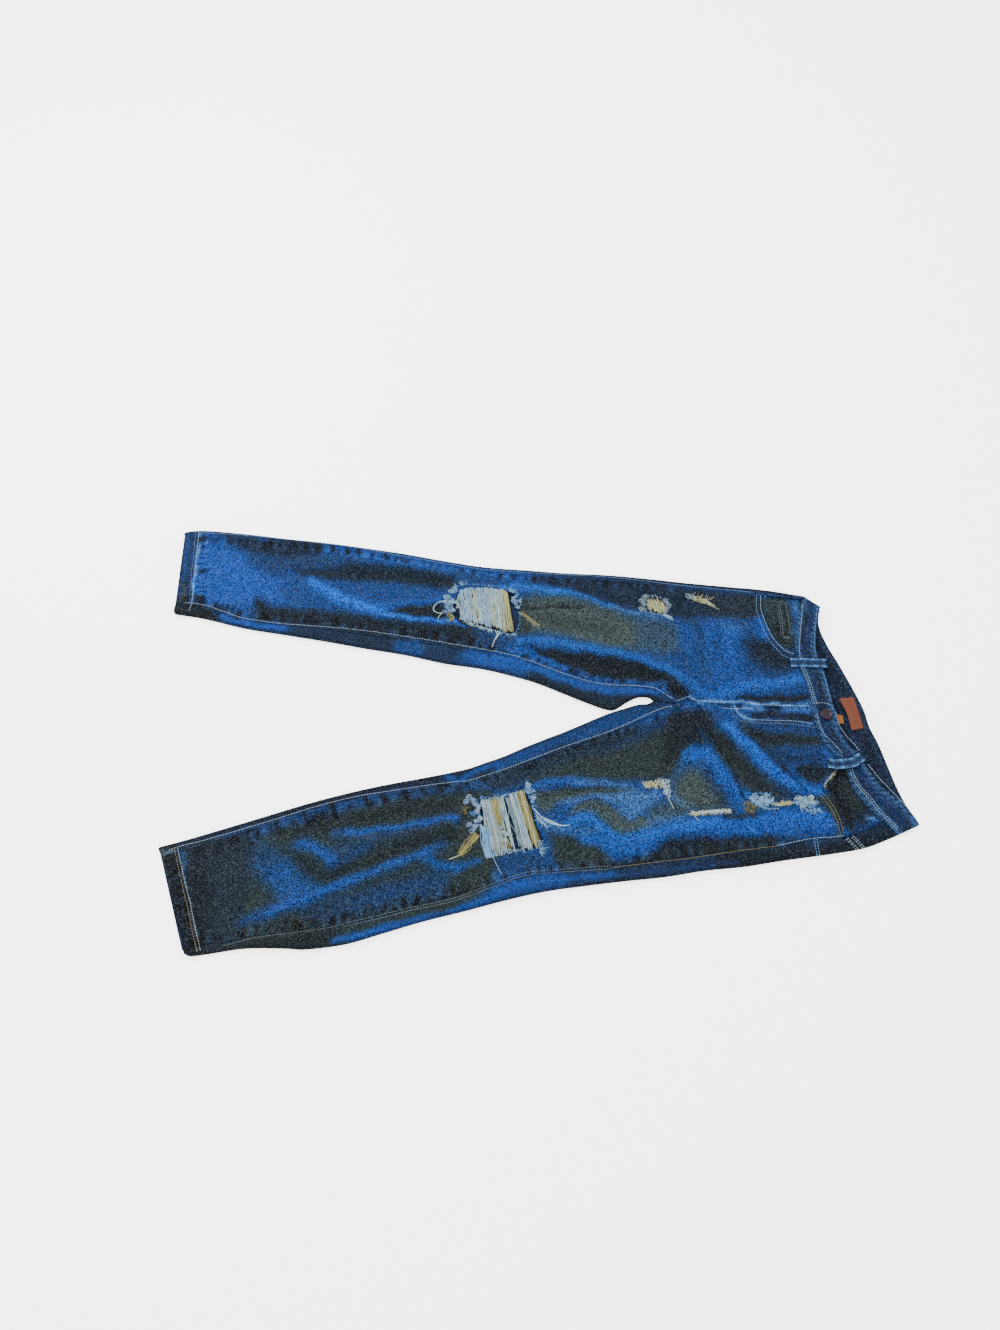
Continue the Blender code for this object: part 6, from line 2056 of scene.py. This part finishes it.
    def strand(self, line: Points, tone: str, radius: float = 0.5, rise: float = 0.6,
               steps: int = 30) -> None:
        """One single thread along given points; millimetres."""
        plan = PlanLine(line).at(np.linspace(0.0, 1.0, steps))
        self.add(plan, rise * MM, radius * MM, tone)

    def build(self, name: str, finish: Finish) -> Piece:
        """Build the threads as one mesh.

        Args:
            name: name of the piece.
            finish: its material.

        Returns:
            The piece.
        """
        plans = np.concatenate([plan for plan, _, _, _ in self.paths])
        heights = self.cloth.height(plans)
        strands, start = [], 0
        for plan, rise, radius, colour in self.paths:
            height = heights[start:start + len(plan)] + rise
            start += len(plan)
            strands.append((np.column_stack([plan, height]), radius, colour))
        return Fabric.threads(name, strands, finish)


THREAD_TONES = {"white": "#bfdce8", "ice": "#8fbfe8", "sky": "#5f97d8", "cream": "#c6c79a", "gold": "#aca463",
                "tan": "#78744f", "lilac": "#93b2d8", "grey": "#8fa9b4"}


def right_knee(cloth: Cloth) -> Tangle:
    """Threads of the right knee rip: a white tangle, straight cream threads and loose loops.

    Args:
        cloth: the upper layer of one half.

    Returns:
        The threads, not yet built.
    """
    work = Tangle(cloth, 11)
    work.bundle("-99,200 -84,206 -74,204", "-95,156 -82,152 -70,147", "white", 26, wander=1.6)
    work.bundle("-98,202 -80,205", "-92,158 -72,148", "ice", 14, wander=2.2, rise=(0.2, 1.2))
    work.bundle("-84,200 -72,203", "-80,162 -68,152", "cream", 9, wander=1.0, rise=(0.3, 1.2))
    work.bundle("-74,206 -50,206", "-70,150 -52,142", "white", 26, wander=1.4)
    work.bundle("-70,205 -56,205", "-66,150 -54,145", "ice", 10, wander=2.0, rise=(0.2, 1.3))
    work.bundle("-60,204 -38,203", "-52,146 -32,136", "cream", 22, wander=0.8)
    work.bundle("-56,178 -46,178", "-52,150 -42,148", "tan", 8, wander=0.8, rise=(-0.4, 0.6))
    work.bundle("-54,204 -38,203", "-48,146 -34,138", "white", 12, wander=1.2, rise=(0.2, 1.2))
    work.band("-35,203 -29,197", "-29,137 -22,136", "cream", 9, wander=0.35)
    work.band("-34,201 -28,192", "-25,136 -20,137", "gold", 5, wander=0.3, rise=(0.2, 1.0))
    work.band("-38,204 -34,203", "-34,140 -31,138", "cream", 5, wander=0.3)
    work.curls("-92,190 -86,176 -78,166 -66,190 -62,172 -60,158 -48,162 -44,186 -52,196 -88,162 -72,156 "
        "-96,176", "white", 5.5, 4)
    work.curls("-84,198 -70,198 -58,192 -46,198 -68,178 -54,150", "ice", 5, 3)
    work.curls("-110,200 -114,192 -108,184 -116,182 -104,204 -112,176", "ice", 5.5, 5)
    work.curls("-116,170 -110,168 -105,171", "lilac", 3.4, 4)
    work.curls("-24,200 -19,192 -17,182 -14,176 -20,186", "ice", 4, 4)
    work.fringe("-106,196 -100,208 -84,211", (-0.7, 0.6), "ice", 22, 12)
    work.fringe("-84,210 -58,208 -36,206", (-0.1, 1.0), "sky", 34, 6)
    work.fringe("-34,206 -18,196 -12,180", (1.0, 0.3), "ice", 26, 8)
    work.fringe("-14,176 -14,150 -20,132", (1.0, -0.2), "sky", 16, 6)
    work.fringe("-96,158 -76,148 -50,139 -34,134", (-0.2, -1.0), "white", 60, 8, radius=0.38)
    work.fringe("-40,138 -28,132 -18,134", (0.1, -1.0), "ice", 22, 9)
    work.fringe("-112,166 -104,158 -110,152", (-0.6, -0.4), "gold", 26, 8, radius=0.42)
    work.fringe("-112,164 -104,150", (-0.4, -0.7), "tan", 18, 8, radius=0.42)
    work.fringe("-12,168 -4,162 2,158", (0.8, -0.4), "gold", 14, 7)
    for shift in (0.0, 1.4):
        loop = [(-100, 181 + shift), (-116, 182.5 + shift), (-128, 181), (-134, 173 - shift)]
        work.strand(loop + read_points("-130,167 -122,165 -118,166"), "white", 0.55, 1.0)
    work.strand("-122,168 -123,164 -126,158 -126,153", "white", 0.5, 0.8)
    work.strand("-41,136 -44,130 -48,121 -51,112", "white", 0.7, 0.8)
    work.strand("-39,134 -43,129 -46,124", "white", 0.7, 1.0)
    work.strand("-14,166 0,158 16,146", "gold", 0.5, 0.4)
    return work


def left_knee(cloth: Cloth) -> Tangle:
    """Threads of the left knee rip: slanted knitted bands, torn flaps and curls on both sides.

    Args:
        cloth: the upper layer of one half.

    Returns:
        The threads, not yet built.
    """
    work = Tangle(cloth, 23)
    for shift in range(4):
        x = -65 + 3.4 * shift
        work.band([(x, -108), (x + 3.4, -106)], [(x + 15, -170), (x + 19, -178)],
            ("white", "grey")[shift % 2], 7, wander=0.9, radius=0.48)
    work.band("-52,-106 -47,-105", "-46,-172 -41,-180", "cream", 6, wander=0.5)
    work.band("-50,-106 -42,-104", "-44,-140 -37,-142", "gold", 12, wander=0.5, rise=(0.9, 1.6))
    work.band("-43,-104 -37,-102", "-27,-152 -20,-176", "white", 10, wander=0.6, radius=0.46)
    work.band("-40,-104 -38,-103", "-30,-150 -26,-160", "grey", 4, wander=0.6)
    work.band("-36,-101 -27,-99", "-16,-168 -9,-172", "grey", 9, wander=1.2, rise=(-0.9, 0.0), radius=0.5)
    work.band("-45,-104 -41,-103", "-38,-178 -30,-176", "white", 6, wander=0.9, rise=(-0.7, 0.3), radius=0.46)
    work.band("-62,-107 -44,-104", "-50,-176 -26,-174", "cream", 14, wander=1.6, rise=(-1.1, -0.3))
    work.band("-22,-98 -10,-95", "-4,-168 9,-163", "gold", 10, wander=1.4, rise=(-1.1, -0.3))
    work.fringe("-64,-106 -40,-102 -14,-95", (0.1, -1.0), "ice", 30, 7, rise=(0.4, 1.3))
    work.fringe("-58,-182 -30,-178 8,-164", (-0.1, 1.0), "white", 34, 8, rise=(0.4, 1.3))
    work.curls("-66,-118 -70,-122 -64,-132 -62,-112 -70,-136", "white", 4, 4)
    work.band("-28,-99 -20,-97", "-8,-170 1,-172", "white", 13, wander=0.7, radius=0.5)
    work.band("-24,-98 -20,-97", "-4,-172 0,-173", "grey", 4, wander=0.7)
    work.band("-19,-97 -11,-95", "2,-164 10,-162", "gold", 11, wander=0.5)
    work.band("-15,-96 -11,-95", "4,-168 10,-172", "cream", 6, wander=0.5, rise=(0.3, 1.2))
    work.bundle("-42,-146 -30,-142", "-36,-168 -24,-170", "tan", 9, wander=1.0, rise=(-1.2, -0.2))
    work.curls("-34,-160 -30,-152 -38,-150", "white", 4, 3)
    work.curls("-80,-104 -74,-108 -83,-110 -72,-114", "lilac", 4, 5)
    work.curls("-78,-140 -74,-146 -71,-142", "lilac", 4, 5)
    work.curls("-74,-126 -68,-132", "sky", 3.6, 4)
    work.fringe("-80,-116 -84,-120 -82,-126", (-1.0, 0.0), "tan", 20, 8, radius=0.42)
    work.fringe("-68,-108 -66,-124 -64,-142", (-0.9, 0.4), "sky", 26, 12)
    work.fringe("-66,-106 -48,-103 -30,-99", (-0.2, 1.0), "sky", 24, 6)
    work.fringe("-64,-140 -58,-158 -52,-180", (0.0, -1.0), "ice", 52, 12, radius=0.36, curl=0.25)
    work.bundle("-66,-140 -58,-144", "-58,-184 -50,-182", "ice", 16, wander=1.2, rise=(0.2, 1.2))
    work.bundle("-60,-146 -54,-150", "-54,-184 -48,-180", "sky", 10, wander=1.4, rise=(0.3, 1.3))
    work.bundle("-72,-150 -66,-156", "-92,-178 -88,-180", "gold", 12, wander=0.8, rise=(0.3, 1.0))
    work.bundle("-76,-150 -70,-152", "-90,-172 -84,-174", "tan", 9, wander=0.8, rise=(0.1, 0.8))
    work.strand("-88,-178 -96,-182 -104,-185", "cream", 0.8, 0.6)
    work.strand("-50,-180 -44,-192 -38,-204", "ice", 0.45, 0.6)
    work.fringe("-40,-170 -24,-172 -10,-172", (0.2, -1.0), "ice", 20, 8)
    work.curls("-5,-86 0,-96 4,-104 -2,-90", "ice", 4, 5)
    work.fringe("-11,-92 -4,-100 2,-116", (1.0, 0.3), "ice", 30, 9)
    work.fringe("-6,-80 0,-92", (-0.3, 0.9), "sky", 12, 6)
    for shift in range(6):
        work.strand([(1 + shift, -116 - shift), (10 + shift, -127 - shift), (24, -134 - 0.9 * shift),
                     (36 + shift, -140 - 0.5 * shift), (44 + shift, -142)], ("white", "ice")[shift % 2], 0.42,
                    0.4 + 0.12 * shift)
    work.fringe("4,-124 12,-134 18,-142", (0.6, -0.9), "ice", 44, 13, radius=0.34)
    work.fringe("16,-134 26,-138 36,-141", (0.4, -1.0), "sky", 24, 9)
    work.fringe("8,-160 12,-168 10,-176", (0.7, -0.6), "ice", 22, 12)
    return work


def small_rips(cloth: Cloth) -> Tangle:
    """Threads of the small rips, which show no hole.

    Args:
        cloth: the upper layer of one half.

    Returns:
        The threads, not yet built.
    """
    work = Tangle(cloth, 37 if cloth.half.name == "right" else 41)
    if cloth.half.name == "right":
        work.tuft("166,188 178,192 190,186", "170,166 182,163 193,163", "cream", 34, wander=1.6, ragged=0.35)
        work.tuft("168,186 178,190 190,184", "172,168 182,165 193,165", "gold", 10, wander=1.6, ragged=0.45)
        work.curls("161,186 164,178 160,170 195,184 197,174 192,168 168,190 198,180", "grey", 5, 5)
        work.curls("176,184 182,176 178,170 186,170", "cream", 4.5, 4)
        work.fringe("162,168 176,164 192,162", (0.2, -1.0), "ice", 18, 5)
        work.fringe("172,190 180,192 188,188", (0.0, 1.0), "grey", 14, 5)
        work.strand("188,162 194,158 202,153", "ice", 1.0, 0.5)
        work.strand("190,163 196,160 201,157", "white", 0.8, 0.8)
        work.tuft("228,194 240,192 252,186", "240,184 254,178 268,170", "cream", 22, wander=1.4, ragged=0.4)
        work.tuft("222,196 230,196", "226,188 238,184", "grey", 10)
        work.fringe("232,193 250,188 258,186", (0.4, 0.9), "cream", 12, 10)
        work.fringe("240,184 256,177 266,171", (0.7, -0.7), "cream", 14, 6)
        return work
    work.tuft("144,-82 160,-79 174,-79", "148,-92 162,-94 174,-92", "cream", 34, rise=(0.1, 0.7), wander=0.9,
        ragged=0.35)
    work.curls("176,-82 178,-90 176,-96 170,-82", "white", 4, 4)
    work.strand("173,-82 173,-95 177,-103 180,-111 184,-119", "white", 0.5, 0.7)
    work.strand("175,-84 176,-96 180,-102 178,-104", "white", 0.45, 0.9)
    work.tuft("204,-124 220,-121 256,-119", "202,-128 222,-127 258,-125", "cream", 44, rise=(0.1, 0.7),
        wander=0.8, ragged=0.3)
    work.tuft("206,-124 240,-121", "238,-124 258,-122", "white", 8, rise=(0.3, 0.9))
    work.strand("208,-127 210,-131 214,-136", "white", 0.45, 0.6)
    work.curls("280,-114 286,-118 282,-124 276,-120", "tan", 3, 5)
    work.tuft("204,-122 256,-118", "206,-128 258,-124", "white", 30, rise=(0.1, 0.9), wander=1.2, ragged=0.4)
    work.fringe("206,-125 230,-122 256,-120", (0.2, 1.0), "cream", 26, 4)
    work.fringe("206,-127 230,-126 256,-124", (0.2, -1.0), "cream", 26, 4)
    work.tuft("312,-112 326,-110", "316,-117 340,-114", "cream", 16, wander=1.0, ragged=0.4)
    work.tuft("282,-104 300,-100 312,-102", "286,-116 302,-119 312,-118", "ice", 26, rise=(0.1, 0.9),
        wander=1.6, ragged=0.45)
    work.curls("290,-104 298,-108 306,-110 296,-114 304,-102 284,-106", "ice", 5, 4)
    work.curls("296,-106 304,-112", "white", 4, 4)
    work.fringe("282,-104 298,-100 310,-102", (0.0, 1.0), "sky", 18, 6)
    work.fringe("288,-116 304,-119 318,-119", (0.5, -0.6), "ice", 20, 7)
    work.strand("308,-113 320,-116 338,-112", "cream", 0.5, 0.5)
    work.curls("324,-112 330,-113", "cream", 2.6, 4)
    work.tuft("338,-106 352,-103 364,-106", "340,-117 354,-121 370,-120", "ice", 28, rise=(0.1, 0.9),
        wander=1.6, ragged=0.45)
    work.curls("344,-108 352,-110 360,-112 350,-116 362,-106", "white", 4.5, 4)
    work.curls("356,-110 362,-112", "grey", 4, 3)
    work.fringe("344,-118 356,-121 370,-120", (0.3, -1.0), "ice", 30, 12, curl=0.25)
    return work


FLOOR_DROP = -0.4 * MM
FLOOR_REACH = 4.0
WHITE = (1.0, 1.0, 1.0, 1.0)
SKY_STRENGTH = 2.0
BOARD_GLOW = 2.5
# The lamp: its place, what it points at, its size and its power
LAMP = ((-0.9, 0.9, 1.8), (0.0, 0.0, 0.0), 1.0, 60.0)
# The photo's camera: focal length and sensor in millimetres, place in metres and tilt in degrees
CAMERA_LENS = 27.09
CAMERA_SENSOR = 36.0
CAMERA_PLACE = (-0.040, -0.495, 1.25)
CAMERA_TILT = 25.0
# Front pocket facings, the coin pocket and the patches: their lower and their upper line
RIGHT_FACING = ("317,192.5 316,172 320,143 330,116 344,96 366,83", "389,186 383,160 375,130 373,112 373,96 "
    "374,80")
LEFT_FACING = ("399,-56 381,-66 362,-92 372,-116 381,-136 387,-157", "410,-56 414,-68 420,-92 428,-104 "
    "440,-121 464,-151")
COIN_POCKET = ("330,170 333.5,148 342,123.5 346.5,116.5", "360,172 359,148 357.5,123.5 357,116.5")
# Depth of the facings under the panel's face, and height of the loops over it
FACING_DROP = 1.5 * MM
LOOP_RISE = 2.7 * MM
# Front loops: line in plan and height of the arch between its ends
FRONT_LOOPS = {"right": ("357,85.5 370,85.5 390,85 406,84.5", 0.5 * MM),
               "left": ("388,-59 400,-61.5 418,-60 434,-50", 4.5 * MM)}
# Back loops: middle in plan, metres, and turn in radians
BACK_LOOPS = {"right": (0.3860, 0.118, 0.10), "centre": (0.4180, 0.028, 0.34), "left": (0.4450, -0.078, 0.24)}
BACK_LOOP_SIZE = (0.050, 0.012)
# Back pockets: top corners, outer and inner, metres
BACK_POCKETS = {"right": ((0.328, 0.190), (0.328, 0.052)), "left": ((0.361, -0.176), (0.330, -0.040))}
POCKET_DEPTH = 0.145
POCKET_TIP = 0.022
POCKET_TAPER = 0.06
BUTTON_PLAN = (0.3945, 0.0090)
BUTTON_RISE = 1.5 * MM
LABEL = ("417,34 424,12 427,-12", "438,38 442,14 445,-7")
SIZE_TAB = ("411.5,13 412.5,0", "419.5,10.5 419.5,-1.5")
PATCH_REST = 5.2 * MM


def back_loop_outline(spot: tuple[float, float, float]) -> Array:
    """Corners of a back belt loop in plan.

    Args:
        spot: middle in metres and turn in radians.

    Returns:
        Plan points.
    """
    x, y, turn = spot
    along, beside = BACK_LOOP_SIZE[0] / 2, BACK_LOOP_SIZE[1] / 2
    spin = np.array([[math.cos(turn), -math.sin(turn)], [math.sin(turn), math.cos(turn)]])
    corners = np.array([(-along, -beside), (along, -beside), (along, beside), (-along, beside)])
    return corners @ spin.T + (x, y)


def back_pocket_outline(corners: tuple[Point, Point]) -> Array:
    """Five-sided outline of a back pocket in plan, from its top corners.

    Args:
        corners: outer and inner top corner, metres.

    Returns:
        Plan points.
    """
    outer, inner = np.array(corners[0]), np.array(corners[1])
    across = inner - outer
    down = np.array([across[1], -across[0]]) / np.linalg.norm(across)
    down *= -np.sign(down[0])
    low = POCKET_DEPTH - POCKET_TIP
    return np.array([outer, inner, inner - across * POCKET_TAPER + down * low,
                     (outer + inner) / 2 + down * POCKET_DEPTH, outer + across * POCKET_TAPER + down * low])


def studio() -> None:
    """Pale floor, soft daylight from above and a camera at the photo's place."""
    mesh = bpy.data.meshes.new("floor")
    reach = FLOOR_REACH
    mesh.from_pydata([(-reach, -reach, FLOOR_DROP), (reach, -reach, FLOOR_DROP), (reach, reach, FLOOR_DROP),
                      (-reach, reach, FLOOR_DROP)], [], [(0, 1, 2, 3)])
    board = Plain("backlit_white_board", "#fafafa", 0.9, spot=0.0, grain=50.0, dent=0.0, gain=1.0).material()
    shader = board.node_tree.nodes["Principled BSDF"]
    shader.inputs["Emission Color"].default_value = WHITE
    shader.inputs["Emission Strength"].default_value = BOARD_GLOW
    floor = place("floor", mesh, board)
    world = bpy.data.worlds.new("daylight")
    world.use_nodes = True
    world.node_tree.nodes["Background"].inputs["Color"].default_value = WHITE
    world.node_tree.nodes["Background"].inputs["Strength"].default_value = SKY_STRENGTH
    bpy.context.scene.world = world
    spot, target, size, power = LAMP
    lamp = bpy.data.lights.new("key", "AREA")
    lamp.size = size
    lamp.energy = power
    item = bpy.data.objects.new("key", lamp)
    item.location = spot
    away = np.array(target) - np.array(spot)
    item.rotation_euler = mathutils.Vector(away).to_track_quat("-Z", "Y").to_euler()
    bpy.context.scene.collection.objects.link(item)
    camera = bpy.data.cameras.new("photo")
    camera.lens = CAMERA_LENS
    camera.sensor_width = CAMERA_SENSOR
    item = bpy.data.objects.new("photo", camera)
    item.location = CAMERA_PLACE
    item.rotation_euler = (math.radians(CAMERA_TILT), 0.0, 0.0)
    bpy.context.scene.collection.objects.link(item)
    bpy.context.scene.camera = item


class Jeans:
    def __init__(self) -> None:
        """Make the finishes and the upper layers."""
        self.denim = Denim("washed_denim").material()
        self.dark = Denim("dark_denim", speckle=0.45).material()
        self.yarn = Yarn("torn_cotton_threads").material()
        self.leather = Plain("tan_leatherette", "#a24600", 0.8, spot=0.14, grain=700.0, gain=0.25).material()
        self.tape = Plain("orange_woven_tape", "#c4741a", 0.85, spot=0.22, grain=1500.0, gain=0.34).material()
        self.copper = Plain("aged_copper", "#4a3b44", 0.38, metallic=0.85, spot=0.25, grain=500.0).material()
        self.chart = WashChart()
        self.cloths = {"right": Cloth(RIGHT), "left": Cloth(LEFT)}

    def keep(self, piece: Piece, slot: str, *nodes: str) -> Piece:
        """Attach a piece to the root body, hide the CAD nodes that it stands in for, and log it.

        Args:
            piece: the piece.
            slot: name of its material slot; not used.
            nodes: the CAD nodes.

        Returns:
            The piece.
        """
        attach(piece, "root")
        if nodes:
            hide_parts(*nodes)
        LOG.info("built %s", piece.name)
        return piece

    def panels(self) -> Pieces:
        """Fronts, backs, yokes and the waistband.

        Returns:
            The pieces by the CAD node that they stand in for.
        """
        made = {}
        for name, pocket, rip in (("right", RIGHT_POCKET, RIGHT_KNEE_RIP),
                                  ("left", LEFT_POCKET, LEFT_KNEE_RIP)):
            cloth = self.cloths[name]
            front = FrontPanel(cloth, self.chart, self.denim, pocket, rip).build()
            made[f"front_{name}"] = self.keep(front, "denim", f"front_{name}")
            back, yoke = BackPanel(cloth, self.chart, self.dark).build()
            made[f"back_{name}"] = self.keep(back, "denim_dark", f"back_{name}")
            made[f"yoke_{name}"] = self.keep(yoke, "denim_dark", f"yoke_{name}")
        band = Waistband((self.cloths["right"], self.cloths["left"]), self.chart, self.denim).build()
        made["waistband"] = self.keep(band, "denim_dark", "waistband")
        return made

    def pockets(self) -> Pieces:
        """Pocket insides, the coin pocket and the back pockets.

        Returns:
            The pieces by CAD node.
        """
        right, left = self.cloths["right"], self.cloths["left"]
        items = {"pocket_facing_right": PocketInside("facing_cloth_right", right, self.chart, self.denim,
                                                     *RIGHT_FACING, drop=FACING_DROP),
                 "pocket_facing_left": PocketInside("facing_cloth_left", left, self.chart, self.denim,
                                                    *LEFT_FACING, drop=FACING_DROP, gape=2.2 * MM),
                 "coin_pocket": PocketInside("coin_pocket_cloth", right, self.chart, self.denim, *COIN_POCKET,
                                             drop=FACING_DROP - 1.3 * MM, wall=0.9 * MM)}
        made = {node: self.keep(item.build(), "denim", node) for node, item in items.items()}
        for side, corners in BACK_POCKETS.items():
            patch = FlatPatch(f"back_pocket_cloth_{side}", back_pocket_outline(corners), self.dark)
            made[f"back_pocket_{side}"] = self.keep(patch.build(), "denim_dark", f"back_pocket_{side}")
        return made

    def loops(self) -> Pieces:
        """Belt loops over the front of the waistband and under its back.

        Returns:
            The pieces by CAD node.
        """
        made = {}
        for side, (line, arch) in FRONT_LOOPS.items():
            loop = BeltLoop(f"belt_loop_cloth_{side}", self.cloths[side], self.denim, line, LOOP_RISE, arch)
            made[f"belt_loop_front_{side}"] = self.keep(loop.build(), "denim", f"belt_loop_front_{side}")
        for side, spot in BACK_LOOPS.items():
            patch = FlatPatch(f"back_loop_cloth_{side}", back_loop_outline(spot), self.dark)
            made[f"belt_loop_back_{side}"] = self.keep(patch.build(), "denim_dark", f"belt_loop_back_{side}")
        return made

    def trim(self) -> Pieces:
        """Button, label and size tab.

        Returns:
            The cloth pieces by CAD node.
        """
        height = float(self.cloths["left"].height(np.array([BUTTON_PLAN]))[0]) + BUTTON_RISE
        button = Button(self.copper, BUTTON_PLAN, height).build()
        self.keep(button, "aged_copper", "button")
        label = InsidePatch("label_patch", self.leather, *LABEL, rest=PATCH_REST, curl=4.0 * MM).build()
        tab = InsidePatch("size_tab_tape", self.tape, *SIZE_TAB, rest=PATCH_REST, curl=0.0).build()
        return {"label": self.keep(label, "leatherette", "label"),
                "size_tab": self.keep(tab, "tab_tape", "size_tab")}

    def threads(self) -> None:
        """Torn threads, fringes and topstitching."""
        for side, knee in (("right", right_knee), ("left", left_knee)):
            cloth = self.cloths[side]
            work = knee(cloth)
            self.keep(work.build(f"knee_weft_{side}", self.yarn), "weft_thread", f"knee_threads_{side}")
            work = small_rips(cloth)
            self.keep(work.build(f"small_rip_threads_{side}", self.yarn), "weft_thread")
        stitching = Stitching(self.cloths, self.yarn)
        self.keep(stitching.build("topstitching", RUNS), "weft_thread")

    @staticmethod
    def declare(made: Pieces) -> None:
        """Take the cloths by CAD node; nothing is done with them.

        Args:
            made: the cloths by CAD node; not used.
        """


def main() -> None:
    logging.basicConfig(level=logging.INFO)
    jeans = Jeans()
    made = jeans.panels()
    made.update(jeans.pockets())
    made.update(jeans.loops())
    made.update(jeans.trim())
    jeans.threads()
    jeans.declare(made)
    studio()


if __name__ == "__main__":
    main()
